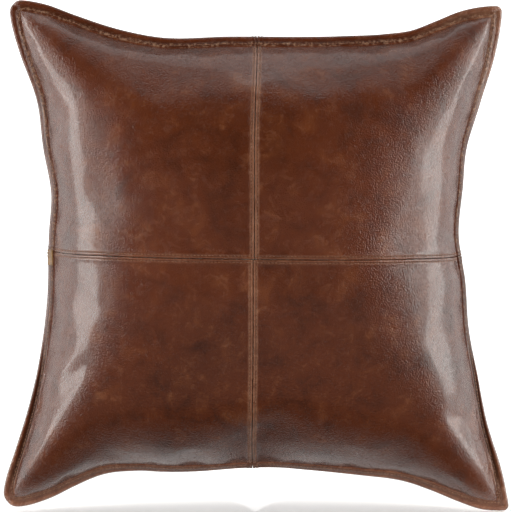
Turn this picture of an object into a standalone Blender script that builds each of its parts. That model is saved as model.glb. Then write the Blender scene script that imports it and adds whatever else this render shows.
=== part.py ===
"""A square throw pillow: a flanged leather cover with a zipper, and a down insert inside it.

The pillow stands upright. Its patchwork front faces -Y, its zipper is on the back at +Y, +X is
to the right of someone who looks at the front, and +Z is up. The origin is on the ground,
under the middle of the pillow. Lengths are in metres and angles in radians.
"""
import math
from collections import namedtuple

import bmesh
import bpy
from mathutils import Matrix, Vector

# Outline of the cover, from corner tip to corner tip
HEIGHT = 0.549
BOTTOM_SPAN = 0.546
TOP_SPAN = 0.524
BOW_LEFT = 0.047          # how far each side pulls in between its two corners
BOW_RIGHT = 0.050
BOW_TOP = 0.040
BOW_BOTTOM = 0.046
BEND_LEFT = 2.1           # 2 is a parabola; more leaves the middle of the side straighter
BEND_RIGHT = 1.7
BEND_TOP = 3.2
BEND_BOTTOM = 3.0

# Plumpness
THICKNESS = 0.210         # front crown to back crown
ROUNDNESS = 2.2           # how square the dome is in plan
FULLNESS = 0.55           # how steeply it rises from the flange
CROWN_RISE = 1.05         # the dome is cut off flat this much below its own peak

# Cover
LEATHER = 0.0012
FLANGE = 0.0127           # flat border outside the stitch fold
FLANGE_GAP = 0.0006       # between the two layers of the flange
FLANGE_STITCH = 0.0025    # from the fold out to the flange's stitch line
SEAM_GAP = 0.0004         # between two panels that are sewn together
SEAM_ALLOWANCE = 0.004    # turned in behind each seam of the front
CORNER_CLIP = 0.002       # cut off an allowance where two seams cross
SEAM_STITCH = 0.003       # from a seam to the topstitch beside it
THREAD = 0.0008           # diameter
CROSSING_CLEAR = 0.0022   # from the cross seam's rows to the ends of the upright ones
FIT = 0.0003              # gap between pieces that touch
PATCH_LENGTH = 0.017      # tan patch on the flange, below the end of the cross seam
PATCH_THICKNESS = 0.0008
PATCH_FROM_EDGE = 0.001
PATCH_FROM_STITCH = 0.0027

# Insert
INSERT_ROOM = 0.0065      # leather's outer face to the ticking's, over the crown
TICKING = 0.0006
INSERT_CLEAR = 0.006      # cover's fold to the outer edge of the insert's seam
INSERT_SEAM = 0.004       # width of the insert's flat sewn edge
FILL_CLEAR = 0.0025

# Zipper, on a track that curves round the back
ZIPPER_Z = 0.155          # height of the zipper above the ground
ZIPPER_HALF = 0.160       # half the length of the opening
ZIPPER_OPENING = 0.012    # between the two leather edges
ZIPPER_STITCH = 0.003     # from a leather edge to its stitch line
STRIP_FADE = 0.055        # over this height the strip's shape passes into the dome's
OPENING_TAPER = 0.008     # over this length the opening closes beyond each end
TAPE_WIDTH = 0.0135
TAPE_MARGIN = 0.0016      # the leather follows the tape this far past its edge
TAPE_THICKNESS = 0.0005
TAPE_SPARE = 0.010        # tape beyond each end of the opening
COIL_GAP = 0.0018         # between the two coils, where the slider's post runs
COIL_WIDTH = 0.0024
COIL_HEIGHT = 0.0018
STOP_LENGTH = 0.003
STOP_INSET = 0.006        # end of the opening to the middle of the stop
SLIDER_LENGTH = 0.011
SLIDER_WIDTH = 0.0088
SLIDER_PLATE = 0.0011
SLIDER_CLEAR = 0.0005     # slider to coil, tape and stop
POST_LENGTH = 0.0015
POST_THICKNESS = 0.0010
BRIDGE_WIDTH = 0.0016     # the arch that holds the pull tab
BRIDGE_BAR = 0.0008
TUNNEL_LENGTH = 0.0060
TUNNEL_HEIGHT = 0.0027
TAB_LENGTH = 0.027
TAB_WIDTH = 0.0066
TAB_THICKNESS = 0.0012
TAB_ARM = 0.0012          # beside the tab's window
TAB_END_BAR = 0.0014

# Fineness of the meshes
HALF_CELLS = 7            # cells from a seam to the fold
FULL_CELLS = 12           # cells from fold to fold
ZIPPER_CELLS = 12         # along the opening
SIDE_CELLS = 3            # from the end of the zipper to the fold
LOWER_CELLS = 4
UPPER_CELLS = 8
SETTLE_STEPS = 24

COLOURS = {
    "leather": ((0.095, 0.032, 0.015), 0.32, 0.0),
    "leather_back": ((0.088, 0.030, 0.015), 0.36, 0.0),
    "patch_leather": ((0.260, 0.140, 0.060), 0.50, 0.0),
    "thread": ((0.150, 0.055, 0.028), 0.60, 0.0),
    "tape": ((0.060, 0.028, 0.018), 0.85, 0.0),
    "coil": ((0.075, 0.035, 0.022), 0.40, 0.0),
    "antique_brass": ((0.330, 0.210, 0.090), 0.35, 1.0),
    "ticking": ((0.780, 0.760, 0.710), 0.85, 0.0),
    "ticking_thread": ((0.820, 0.810, 0.780), 0.70, 0.0),
    "down": ((0.880, 0.870, 0.840), 0.95, 0.0),
}

FLANGE_HALF = LEATHER + FLANGE_GAP / 2        # mid-plane to the flange's outer face
CROWN = THICKNESS / 2 - FLANGE_HALF
SEAM_Z = HEIGHT / 2
PATCH_WIDTH = FLANGE - FLANGE_STITCH - PATCH_FROM_STITCH - PATCH_FROM_EDGE
INSERT_EDGE = FLANGE + INSERT_CLEAR
INSERT_FOLD = INSERT_EDGE + INSERT_SEAM
INSERT_HALF = TICKING + FIT / 2
INSERT_CROWN = CROWN - INSERT_ROOM
FILL_MARGIN = INSERT_FOLD + FILL_CLEAR
FILL_CROWN = INSERT_CROWN - FILL_CLEAR
ZIPPER_STRIP = COIL_GAP / 2 + TAPE_WIDTH + TAPE_MARGIN - ZIPPER_OPENING / 2

Line = namedtuple("Line", "fraction start end drop seam")
Edges = namedtuple("Edges", "left right low high")


def mix(a, b, share):
    return a + (b - a) * share


def ease(value):
    """0 to 1 with no kink at either end."""
    value = min(1.0, max(0.0, value))
    return value * value * (3 - 2 * value)


# ---------------------------------------------------------------- shape of the pillow

def pull_in(position, bow, bend):
    """How far a side lies inside the chord of its corners, for a position from -1 to 1."""
    return bow * (1 - abs(position) ** bend)


def left_edge(z, inset=0.0):
    chord = -mix(BOTTOM_SPAN, TOP_SPAN, z / HEIGHT) / 2
    return chord + pull_in(2 * z / HEIGHT - 1, BOW_LEFT, BEND_LEFT) + inset


def right_edge(z, inset=0.0):
    chord = mix(BOTTOM_SPAN, TOP_SPAN, z / HEIGHT) / 2
    return chord - pull_in(2 * z / HEIGHT - 1, BOW_RIGHT, BEND_RIGHT) - inset


def bottom_edge(x, inset=0.0):
    return pull_in(2 * x / BOTTOM_SPAN, BOW_BOTTOM, BEND_BOTTOM) + inset


def top_edge(x, inset=0.0):
    return HEIGHT - pull_in(2 * x / TOP_SPAN, BOW_TOP, BEND_TOP) - inset


def dome(x, z, margin, crown):
    """Height of the pillow's face over its flange at x, z."""
    left, right = left_edge(z, margin), right_edge(z, margin)
    low, high = bottom_edge(x, margin), top_edge(x, margin)
    across = abs(2 * (x - left) / (right - left) - 1)
    upward = abs(2 * (z - low) / (high - low) - 1)
    bulge = max(0.0, 1 - across ** ROUNDNESS) * max(0.0, 1 - upward ** ROUNDNESS)
    return crown * min(1.0, CROWN_RISE * bulge ** FULLNESS)


# The zipper's track is an arc about an upright axis. It passes through the dome's own height
# at the middle and at the ends of the opening, and it leans as the dome leans there.
TRACK_DEPTH = dome(0, ZIPPER_Z, FLANGE, CROWN)
TRACK_FALL = TRACK_DEPTH - dome(ZIPPER_HALF, ZIPPER_Z, FLANGE, CROWN)
TRACK_RADIUS = (ZIPPER_HALF ** 2 + TRACK_FALL ** 2) / (2 * TRACK_FALL)
TRACK_AXIS_Y = FLANGE_HALF + TRACK_DEPTH - TRACK_RADIUS
LEAN_STEP = 0.005
TRACK_LEAN = math.atan2(
    dome(0, ZIPPER_Z + LEAN_STEP, FLANGE, CROWN) - dome(0, ZIPPER_Z - LEAN_STEP, FLANGE, CROWN),
    2 * LEAN_STEP,
)


def on_track(x, z):
    """Height over the flange of the leaning track's surface at x, z."""
    radius = TRACK_RADIUS + (z - ZIPPER_Z) * math.tan(TRACK_LEAN)
    return TRACK_AXIS_Y + math.sqrt(radius ** 2 - x ** 2) - FLANGE_HALF


def inside_fold(x, z, margin):
    """How far x, z lies inside the fold on its own side."""
    return min(right_edge(z, margin) - x, x - left_edge(z, margin))


def back_dome(x, z, margin, crown, sink):
    """The dome of the back, which becomes the zipper's track, sunk by sink, along the zipper."""
    flat = ZIPPER_OPENING / 2 + ZIPPER_STRIP + SEAM_STITCH
    end = ZIPPER_HALF + TAPE_SPARE + OPENING_TAPER
    room = min(inside_fold(side * end, ZIPPER_Z + level * flat, margin)
               for side in (-1, 1) for level in (-1, 1))
    upward = 1 - ease((abs(z - ZIPPER_Z) - flat) / STRIP_FADE)
    sideways = ease(inside_fold(x, z, margin) / room)
    own = dome(x, z, margin, crown)
    if upward * sideways == 0:
        return own
    return mix(own, on_track(x, z) - sink, upward * sideways)


def half_opening(x):
    """Half the distance between the leather edges of the back at x."""
    beyond = ease((abs(x) - ZIPPER_HALF) / OPENING_TAPER)
    return mix(ZIPPER_OPENING / 2, SEAM_GAP / 2, beyond)


# ---------------------------------------------------------------- grids on that shape

def settle(column, row, edges):
    """Where two grid lines cross, in x and z: each line's place depends on the other's."""
    x, z = 0.0, SEAM_Z
    for _ in range(SETTLE_STEPS):
        x = mix(edges.left(z, column.start), edges.right(z, column.end), column.fraction)
        z = mix(edges.low(x, row.start), edges.high(x, row.end), row.fraction)
    return x, z


def grid_lines(start, fractions, end, seam_at=None):
    """Lines at the insets of start, at the fractions between, then at the insets of end.

    At a seam one more line is dropped behind the last one: the allowance that is turned in.
    """
    lines = [Line(0.0, inset, end[-1], 0.0, None) for inset in start]
    lines += [Line(share, start[-1], end[-1], 0.0, None) for share in fractions]
    lines += [Line(1.0, start[-1], inset, 0.0, None) for inset in reversed(end)]
    if seam_at == "start":
        lines[0] = lines[0]._replace(seam=seam_at)
        lines.insert(0, lines[0]._replace(drop=SEAM_ALLOWANCE))
    if seam_at == "end":
        lines[-1] = lines[-1]._replace(seam=seam_at)
        lines.append(lines[-1]._replace(drop=SEAM_ALLOWANCE))
    return lines


def clipped(line, other):
    """line, or where other is an allowance, line moved away from the corner of two seams."""
    if other.drop and line.seam:
        return line._replace(**{line.seam: CORNER_CLIP})
    return line


def from_seam(cells):
    """Fractions that crowd towards the fold, where the dome is steepest."""
    return [math.sin(k / cells * math.pi / 2) for k in range(1, cells)]


def from_fold(cells):
    return [1 - share for share in reversed(from_seam(cells))]


def fold_to_fold(cells):
    return [(1 - math.cos(k / cells * math.pi)) / 2 for k in range(1, cells)]


OUTLINE_LINES = [0.0, FLANGE - FLANGE_STITCH, FLANGE]
SEAM_LINES = [0.0, SEAM_STITCH]
ZIPPER_LINES = [0.0, ZIPPER_STITCH, ZIPPER_STRIP]


def seam_right_of(z, inset):
    return -SEAM_GAP / 2 - inset


def seam_left_of(z, inset):
    return SEAM_GAP / 2 + inset


def seam_under(x, inset):
    return SEAM_Z + SEAM_GAP / 2 + inset


def seam_over(x, inset):
    return SEAM_Z - SEAM_GAP / 2 - inset


def from_zipper(x, inset):
    """Height above the zipper of a line of its strip, which stays wide beyond the opening."""
    edge = mix(half_opening(x), ZIPPER_OPENING / 2, inset / ZIPPER_STRIP)
    return (edge + inset) * math.cos(TRACK_LEAN)


def zipper_under(x, inset):
    return ZIPPER_Z + from_zipper(x, inset)


def zipper_over(x, inset):
    return ZIPPER_Z - from_zipper(x, inset)


def front_point(column, row, edges):
    if column.drop and row.drop:
        return None
    x, z = settle(clipped(column, row), clipped(row, column), edges)
    depth = dome(x, z, FLANGE, CROWN)
    deepest = depth + LEATHER + FLANGE_GAP / 4
    return Vector((x, -FLANGE_HALF - depth + min(deepest, max(column.drop, row.drop)), z))


def back_point(column, row, edges):
    x, z = settle(column, row, edges)
    return Vector((x, FLANGE_HALF + back_dome(x, z, FLANGE, CROWN, 0.0), z))


def zipper_fractions():
    """Columns of the back: even along the opening, then out to the folds on both sides."""
    left, right = left_edge(ZIPPER_Z, FLANGE), right_edge(ZIPPER_Z, FLANGE)
    taper = ZIPPER_HALF + OPENING_TAPER
    tape_end = ZIPPER_HALF + TAPE_SPARE + OPENING_TAPER
    opening = [ZIPPER_HALF * (2 * k / ZIPPER_CELLS - 1) for k in range(ZIPPER_CELLS + 1)]
    outer = [mix(tape_end, min(-left, right), math.sin(k / SIDE_CELLS * math.pi / 2))
             for k in range(SIDE_CELLS)]
    places = [-x for x in reversed(outer)] + [-taper] + opening + [taper] + outer
    return [(x - left) / (right - left) for x in places]


# ---------------------------------------------------------------- making the pieces

for old in list(bpy.data.objects):
    bpy.data.objects.remove(old, do_unlink=True)

pillow = bpy.data.collections.new("throw_pillow")
guides = bpy.data.collections.new("construction")
for collection in (pillow, guides):
    bpy.context.scene.collection.children.link(collection)


def make_material(name):
    colour, roughness, metallic = COLOURS[name]
    material = bpy.data.materials.new(name)
    material.use_nodes = True
    shader = material.node_tree.nodes["Principled BSDF"]
    shader.inputs["Base Color"].default_value = (*colour, 1.0)
    shader.inputs["Roughness"].default_value = roughness
    shader.inputs["Metallic"].default_value = metallic
    return material


MATERIALS = {name: make_material(name) for name in COLOURS}


def add_object(name, data, material=None, collection=None):
    piece = bpy.data.objects.new(name, data)
    (collection or pillow).objects.link(piece)
    if material:
        data.materials.append(MATERIALS[material])
    return piece


def mesh_from(bm, name):
    mesh = bpy.data.meshes.new(name)
    bm.to_mesh(mesh)
    bm.free()
    return mesh


def bend_grid(bm, columns, rows, point):
    """A grid, each vertex moved to point(column, row), or left out where that is None."""
    made = bmesh.ops.create_grid(
        bm, x_segments=len(columns) - 1, y_segments=len(rows) - 1, size=1.0
    )
    left_out = []
    for vert in made["verts"]:
        column = columns[round((vert.co.x + 1) / 2 * (len(columns) - 1))]
        row = rows[round((vert.co.y + 1) / 2 * (len(rows) - 1))]
        place = point(column, row)
        if place is None:
            left_out.append(vert)
        else:
            vert.co = place
    bmesh.ops.delete(bm, geom=left_out, context="VERTS")


def add_sheet(name, columns, rows, point, thickness, material):
    """Leather or cloth: an open surface with its outer face where point says."""
    bm = bmesh.new()
    bend_grid(bm, columns, rows, point)
    piece = add_object(name, mesh_from(bm, name), material)
    piece.data.shade_smooth()
    piece.data.set_sharp_from_angle(angle=math.radians(40))
    shell = piece.modifiers.new("thickness", "SOLIDIFY")
    shell.thickness = thickness
    shell.offset = -1
    shell.use_even_offset = True
    shell.use_quality_normals = True
    return piece


def add_thread(name, points, material="thread", closed=False):
    curve = bpy.data.curves.new(name, "CURVE")
    curve.dimensions = "3D"
    curve.bevel_depth = THREAD / 2
    curve.bevel_resolution = 1
    curve.use_fill_caps = True
    spline = curve.splines.new("POLY")
    spline.points.add(len(points) - 1)
    for knot, place in zip(spline.points, points):
        knot.co = (*place, 1.0)
    spline.use_cyclic_u = closed
    return add_object(name, curve, material)


def lifted(point, normal):
    """Where a thread's middle runs to lie on the leather at point."""
    return point + normal.normalized() * (THREAD / 2 + FIT)


def front_normal(x, z, step=0.002):
    slope_x = (dome(x + step, z, FLANGE, CROWN) - dome(x - step, z, FLANGE, CROWN)) / (2 * step)
    slope_z = (dome(x, z + step, FLANGE, CROWN) - dome(x, z - step, FLANGE, CROWN)) / (2 * step)
    return Vector((-slope_x, -1.0, -slope_z))


def back_normal(x, z, step=0.002):
    def depth(a, b):
        return back_dome(a, b, FLANGE, CROWN, 0.0)
    slope_x = (depth(x + step, z) - depth(x - step, z)) / (2 * step)
    slope_z = (depth(x, z + step) - depth(x, z - step)) / (2 * step)
    return Vector((-slope_x, 1.0, -slope_z))


# ---------------------------------------------------------------- front of the cover

TO_SEAM = grid_lines(OUTLINE_LINES, from_fold(HALF_CELLS), SEAM_LINES, seam_at="end")
FROM_SEAM = grid_lines(SEAM_LINES, from_seam(HALF_CELLS), OUTLINE_LINES, seam_at="start")
QUARTERS = {
    "front_panel_top_left": (TO_SEAM, FROM_SEAM, Edges(left_edge, seam_right_of, seam_under,
                                                       top_edge)),
    "front_panel_top_right": (FROM_SEAM, FROM_SEAM, Edges(seam_left_of, right_edge, seam_under,
                                                          top_edge)),
    "front_panel_bottom_left": (TO_SEAM, TO_SEAM, Edges(left_edge, seam_right_of, bottom_edge,
                                                        seam_over)),
    "front_panel_bottom_right": (FROM_SEAM, TO_SEAM, Edges(seam_left_of, right_edge, bottom_edge,
                                                           seam_over)),
}
# In a list of lines that starts at a seam, the stitch line comes after the drop and the edge,
# and the fold comes before the flange's stitch line and its edge. The other way round, the
# same lines are counted from the end.
STITCH_AT = 2
FOLD_AT = -3


def stitch_line(lines, starts_at_seam):
    return lines[STITCH_AT] if starts_at_seam else lines[-1 - STITCH_AT]


def seam_to_fold(lines, starts_at_seam):
    """The lines from a seam's stitch line to just before the fold."""
    if starts_at_seam:
        return lines[STITCH_AT:FOLD_AT]
    return lines[-FOLD_AT:-STITCH_AT]


def add_front():
    for name, (columns, rows, edges) in QUARTERS.items():
        def point(column, row, edges=edges):
            return front_point(column, row, edges)
        add_sheet(name, columns, rows, point, LEATHER, "leather")


def add_front_topstitch():
    """Each seam has a row of stitches on both sides.

    The cross seam's rows run from fold to fold, and the upright seam's stop short of them.
    """
    for level, row_lines, starts in (("upper", FROM_SEAM, True), ("lower", TO_SEAM, False)):
        side = "top" if level == "upper" else "bottom"
        row = stitch_line(row_lines, starts)
        left = QUARTERS[f"front_panel_{side}_left"][2]
        right = QUARTERS[f"front_panel_{side}_right"][2]
        places = [front_point(column, row, left) for column in seam_to_fold(TO_SEAM, False)]
        places += [front_point(column, row, right) for column in seam_to_fold(FROM_SEAM, True)]
        places = [lifted(place, front_normal(place.x, place.z)) for place in places]
        add_thread(f"cross_seam_stitch_{level}", places)

        for hand, column_lines, first in (("left", TO_SEAM, False), ("right", FROM_SEAM, True)):
            column = stitch_line(column_lines, first)
            edges = QUARTERS[f"front_panel_{side}_{hand}"][2]
            rows = seam_to_fold(row_lines, starts)
            places = [front_point(column, line, edges) for line in rows]
            crossing, beyond = (0, 1) if starts else (-1, -2)
            away = (places[beyond] - places[crossing]).normalized()
            places[crossing] += away * CROSSING_CLEAR
            places = [lifted(place, front_normal(place.x, place.z)) for place in places]
            add_thread(f"{side}_seam_stitch_{hand}", places)


# ---------------------------------------------------------------- flange

def ring(inset, y):
    """Points once round the pillow, inset from its outline, at the leather's own grid lines."""
    edges = Edges(left_edge, right_edge, bottom_edge, top_edge)
    shares = [0.0] + fold_to_fold(2 * HALF_CELLS) + [1.0]
    across = [Line(share, inset, inset, 0.0, None) for share in shares]
    low, high = across[0], across[-1]
    sides = [[(line, low) for line in across], [(high, line) for line in across]]
    sides += [[(line, high) for line in reversed(across)], [(low, line) for line in reversed(across)]]
    places = []
    for side in sides:
        for column, row in side[:-1]:
            x, z = settle(column, row, edges)
            places.append(Vector((x, y, z)))
    return places


def add_flange_stitch():
    raised = FLANGE_HALF + FIT + THREAD / 2
    inset = FLANGE - FLANGE_STITCH
    add_thread("flange_stitch_front", ring(inset, -raised), closed=True)
    add_thread("flange_stitch_back", ring(inset, raised), closed=True)


def add_seam_end_patch():
    """A small tan patch sewn to the flange, from the cross seam's end downwards."""
    columns = [PATCH_FROM_EDGE, PATCH_FROM_EDGE + PATCH_WIDTH / 2, PATCH_FROM_EDGE + PATCH_WIDTH]
    rows = [SEAM_Z - SEAM_GAP / 2 - PATCH_LENGTH * (1 - k / 4) for k in range(5)]

    def point(inset, z):
        return Vector((left_edge(z, inset), -FLANGE_HALF - FIT - PATCH_THICKNESS, z))
    add_sheet("seam_end_patch", columns, rows, point, PATCH_THICKNESS, "patch_leather")


# ---------------------------------------------------------------- back of the cover

BACK_COLUMNS = grid_lines(OUTLINE_LINES, zipper_fractions(), OUTLINE_LINES)
UPPER_ROWS = grid_lines(ZIPPER_LINES, from_seam(UPPER_CELLS), OUTLINE_LINES)
LOWER_ROWS = grid_lines(OUTLINE_LINES, from_fold(LOWER_CELLS), ZIPPER_LINES)
UPPER_EDGES = Edges(left_edge, right_edge, zipper_under, top_edge)
LOWER_EDGES = Edges(left_edge, right_edge, bottom_edge, zipper_over)


def add_back():
    columns = list(reversed(BACK_COLUMNS))
    for name, rows, edges in (("back_panel_upper", UPPER_ROWS, UPPER_EDGES),
                              ("back_panel_lower", LOWER_ROWS, LOWER_EDGES)):
        def point(column, row, edges=edges):
            return back_point(column, row, edges)
        add_sheet(name, columns, rows, point, LEATHER, "leather_back")


def add_zipper_stitch():
    columns = BACK_COLUMNS[len(OUTLINE_LINES) + 1:-len(OUTLINE_LINES) - 1]
    for name, row, edges in (("zipper_stitch_upper", UPPER_ROWS[1], UPPER_EDGES),
                             ("zipper_stitch_lower", LOWER_ROWS[-2], LOWER_EDGES)):
        places = [back_point(column, row, edges) for column in columns]
        places = [lifted(place, back_normal(place.x, place.z)) for place in places]
        add_thread(name, places)


# ---------------------------------------------------------------- zipper

TAPE_TOP = -LEATHER - FIT
TAPE_UNDERSIDE = TAPE_TOP - TAPE_THICKNESS
COIL_BASE = TAPE_TOP + FIT
COIL_TOP = COIL_BASE + COIL_HEIGHT
COIL_OUTER = COIL_GAP / 2 + COIL_WIDTH
PLATE_BASE = COIL_TOP + SLIDER_CLEAR
PLATE_TOP = PLATE_BASE + SLIDER_PLATE
TAB_AXIS = PLATE_TOP + TUNNEL_HEIGHT / 2
STOP_TURN = (ZIPPER_HALF - STOP_INSET) / TRACK_RADIUS
COIL_TURN = STOP_TURN - (STOP_LENGTH / 2 + FIT) / TRACK_RADIUS
SLIDER_TURN = STOP_TURN - (STOP_LENGTH / 2 + SLIDER_CLEAR + SLIDER_LENGTH / 2) / TRACK_RADIUS
TAPE_TURN = math.asin((ZIPPER_HALF + TAPE_SPARE) / TRACK_RADIUS)


def track_place(turn, across, out):
    """A point of the track: turned from the middle, across it upwards, and out from it."""
    radius = TRACK_RADIUS + out * math.cos(TRACK_LEAN) + across * math.sin(TRACK_LEAN)
    z = ZIPPER_Z + across * math.cos(TRACK_LEAN) - out * math.sin(TRACK_LEAN)
    return Vector((radius * math.sin(turn), TRACK_AXIS_Y + radius * math.cos(turn), z))


def opening_turns(limit):
    """The turns of the leather's own columns along the opening, cut off at limit."""
    turns = [math.asin(ZIPPER_HALF * (2 * k / ZIPPER_CELLS - 1) / TRACK_RADIUS)
             for k in range(ZIPPER_CELLS + 1)]
    inner = [turn for turn in turns if abs(turn) < limit]
    return [-limit] + inner + [limit]


def add_swept(name, section, turns, material):
    """A bar of constant section, given as (across, out) pairs, along the track."""
    bm = bmesh.new()
    loop = section + section[:1]
    bend_grid(bm, turns, list(range(len(loop))), lambda turn, k: track_place(turn, *loop[k]))
    bmesh.ops.remove_doubles(bm, verts=bm.verts, dist=0.00001)
    rims = [edge for edge in bm.edges if edge.is_boundary]
    bmesh.ops.holes_fill(bm, edges=rims)
    bmesh.ops.recalc_face_normals(bm, faces=bm.faces)
    piece = add_object(name, mesh_from(bm, name), material)
    piece.data.set_sharp_from_angle(angle=math.radians(35))
    return piece


def rectangle(inner, outer, base, top):
    return [(inner, base), (outer, base), (outer, top), (inner, top)]


def chamfered(inner, outer, base, top, cut):
    return [(inner + cut, base), (outer - cut, base), (outer, base + cut), (outer, top - cut),
            (outer - cut, top), (inner + cut, top), (inner, top - cut), (inner, base + cut)]


def add_chain():
    tape = rectangle(COIL_GAP / 2, COIL_GAP / 2 + TAPE_WIDTH, TAPE_UNDERSIDE, TAPE_TOP)
    coil = chamfered(COIL_GAP / 2, COIL_OUTER, COIL_BASE, COIL_TOP, COIL_HEIGHT / 3)
    for level, sign in (("upper", 1), ("lower", -1)):
        tape_section = [(sign * across, out) for across, out in tape]
        coil_section = [(sign * across, out) for across, out in coil]
        add_swept(f"zipper_tape_{level}", tape_section, opening_turns(TAPE_TURN), "tape")
        add_swept(f"zipper_coil_{level}", coil_section, opening_turns(COIL_TURN), "coil")


def lean():
    """Turns a box built along X, out along Y and across along Z into the track's lean."""
    return Matrix.Rotation(-TRACK_LEAN, 4, "X")


def add_box(name, low, high, collection=None, material=None):
    """A box between two corners given as (along, out, across), before the lean."""
    bm = bmesh.new()
    bmesh.ops.create_cube(bm, size=1.0)
    middle = [(a + b) / 2 for a, b in zip(low, high)]
    extent = [b - a for a, b in zip(low, high)]
    bmesh.ops.scale(bm, verts=bm.verts, vec=extent)
    bmesh.ops.translate(bm, verts=bm.verts, vec=middle)
    piece = add_object(name, mesh_from(bm, name), material, collection)
    if collection is guides:
        piece.hide_render = True
        piece.display_type = "WIRE"
    return piece


def combine(piece, other, operation):
    change = piece.modifiers.new(other.name, "BOOLEAN")
    change.operation = operation
    change.solver = "EXACT"
    change.object = other


def round_edges(piece, width):
    bevel = piece.modifiers.new("rounded edges", "BEVEL")
    bevel.width = width
    bevel.segments = 1
    bevel.limit_method = "ANGLE"


def stand_on_track(piece, turn):
    """Puts a piece built at the middle of the track, about the track's axis, at a turn."""
    piece.location = (0, TRACK_AXIS_Y, ZIPPER_Z)
    piece.rotation_euler = (0, 0, -turn)


def leaned(piece):
    """Leans a piece's mesh about the track's own line, and moves it out to the track."""
    piece.data.transform(Matrix.Translation((0, TRACK_RADIUS, 0)) @ lean())
    return piece


def add_stops():
    for name, turn in (("zipper_stop_closed_end", -STOP_TURN), ("zipper_stop_open_end", STOP_TURN)):
        half, width = STOP_LENGTH / 2, COIL_OUTER + FIT
        stop = add_box(name, (-half, COIL_BASE, -width), (half, COIL_TOP, width),
                       material="antique_brass")
        leaned(stop)
        round_edges(stop, FIT)
        stand_on_track(stop, turn)


def add_slider():
    """Two plates that straddle the chain, a post between the coils, and a bridge on top."""
    half, width = SLIDER_LENGTH / 2, SLIDER_WIDTH / 2
    under = TAPE_UNDERSIDE - SLIDER_CLEAR
    slider = add_box("zipper_slider", (-half, PLATE_BASE, -width), (half, PLATE_TOP, width),
                     material="antique_brass")
    post_end = -half + 2 * POST_LENGTH
    bridge_top = PLATE_TOP + TUNNEL_HEIGHT + BRIDGE_BAR
    bridge_half = TUNNEL_LENGTH / 2 + BRIDGE_BAR
    overlap = SLIDER_PLATE / 2
    parts = {
        "slider_lower_plate": ((-half, under - SLIDER_PLATE, -width), (half, under, width)),
        "slider_post": ((post_end - POST_LENGTH, under - overlap, -POST_THICKNESS / 2),
                        (post_end, PLATE_BASE + overlap, POST_THICKNESS / 2)),
        "slider_bridge": ((-bridge_half, PLATE_TOP - overlap, -BRIDGE_WIDTH / 2),
                          (bridge_half, bridge_top, BRIDGE_WIDTH / 2)),
    }
    tunnel = add_box("slider_tunnel", (-TUNNEL_LENGTH / 2, PLATE_TOP, -BRIDGE_WIDTH),
                     (TUNNEL_LENGTH / 2, PLATE_TOP + TUNNEL_HEIGHT, BRIDGE_WIDTH), guides)
    leaned(slider)
    stand_on_track(slider, -SLIDER_TURN)
    for name, (low, high) in parts.items():
        part = leaned(add_box(name, low, high, guides))
        stand_on_track(part, -SLIDER_TURN)
        combine(slider, part, "UNION")
    leaned(tunnel)
    stand_on_track(tunnel, -SLIDER_TURN)
    combine(slider, tunnel, "DIFFERENCE")
    return slider


def add_pull_tab(slider):
    """A flat tab whose end bar lies in the bridge's tunnel. Its origin is on its own pivot."""
    half_bar, width, half_thick = TAB_END_BAR / 2, TAB_WIDTH / 2, TAB_THICKNESS / 2
    tab = add_box("zipper_pull_tab", (-half_bar, -half_thick, -width),
                  (TAB_LENGTH, half_thick, width), material="antique_brass")
    window_end = math.hypot(TUNNEL_LENGTH / 2 + BRIDGE_BAR, TUNNEL_HEIGHT / 2 + BRIDGE_BAR)
    window = add_box("tab_window", (half_bar, -TAB_THICKNESS, -width + TAB_ARM),
                     (window_end + SLIDER_CLEAR, TAB_THICKNESS, width - TAB_ARM), guides)
    pivot = Matrix.Translation((0, TRACK_RADIUS, 0)) @ lean() @ Matrix.Translation((0, TAB_AXIS, 0))
    for piece in (tab, window):
        piece.parent = slider
        piece.location = pivot.translation
        piece.rotation_euler = pivot.to_euler()
    combine(tab, window, "DIFFERENCE")
    round_edges(tab, TAB_THICKNESS / 5)


# ---------------------------------------------------------------- insert

INSERT_EDGES = Edges(left_edge, right_edge, bottom_edge, top_edge)


def add_insert():
    edge_lines = [INSERT_EDGE, INSERT_FOLD]
    lines = grid_lines(edge_lines, fold_to_fold(FULL_CELLS), edge_lines)

    def front(column, row):
        x, z = settle(column, row, INSERT_EDGES)
        return Vector((x, -INSERT_HALF - dome(x, z, INSERT_FOLD, INSERT_CROWN), z))

    def back(column, row):
        x, z = settle(column, row, INSERT_EDGES)
        depth = back_dome(x, z, INSERT_FOLD, INSERT_CROWN, INSERT_ROOM)
        flat = row.fraction in (0.0, 1.0) or column.fraction in (0.0, 1.0)
        return Vector((x, INSERT_HALF + (0.0 if flat else depth), z))

    add_sheet("insert_ticking_front", lines, lines, front, TICKING, "ticking")
    add_sheet("insert_ticking_back", list(reversed(lines)), lines, back, TICKING, "ticking")
    sewn = (INSERT_EDGE + INSERT_FOLD) / 2
    places = ring(sewn, -INSERT_HALF - FIT - THREAD / 2)
    add_thread("insert_closing_stitch", places, "ticking_thread", closed=True)


def add_fill():
    """The down, as one closed form: a front and a back that share their rim."""
    inset = [FILL_MARGIN]
    lines = grid_lines(inset, fold_to_fold(FULL_CELLS), inset)

    def front(column, row):
        x, z = settle(column, row, INSERT_EDGES)
        return Vector((x, -dome(x, z, FILL_MARGIN, FILL_CROWN), z))

    def back(column, row):
        x, z = settle(column, row, INSERT_EDGES)
        rim = row.fraction in (0.0, 1.0) or column.fraction in (0.0, 1.0)
        depth = back_dome(x, z, FILL_MARGIN, FILL_CROWN, INSERT_ROOM + FILL_CLEAR)
        return Vector((x, 0.0 if rim else depth, z))

    bm = bmesh.new()
    bend_grid(bm, lines, lines, front)
    bend_grid(bm, list(reversed(lines)), lines, back)
    bmesh.ops.remove_doubles(bm, verts=bm.verts, dist=0.00005)
    fill = add_object("insert_fill", mesh_from(bm, "insert_fill"), "down")
    fill.data.shade_smooth()


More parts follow.
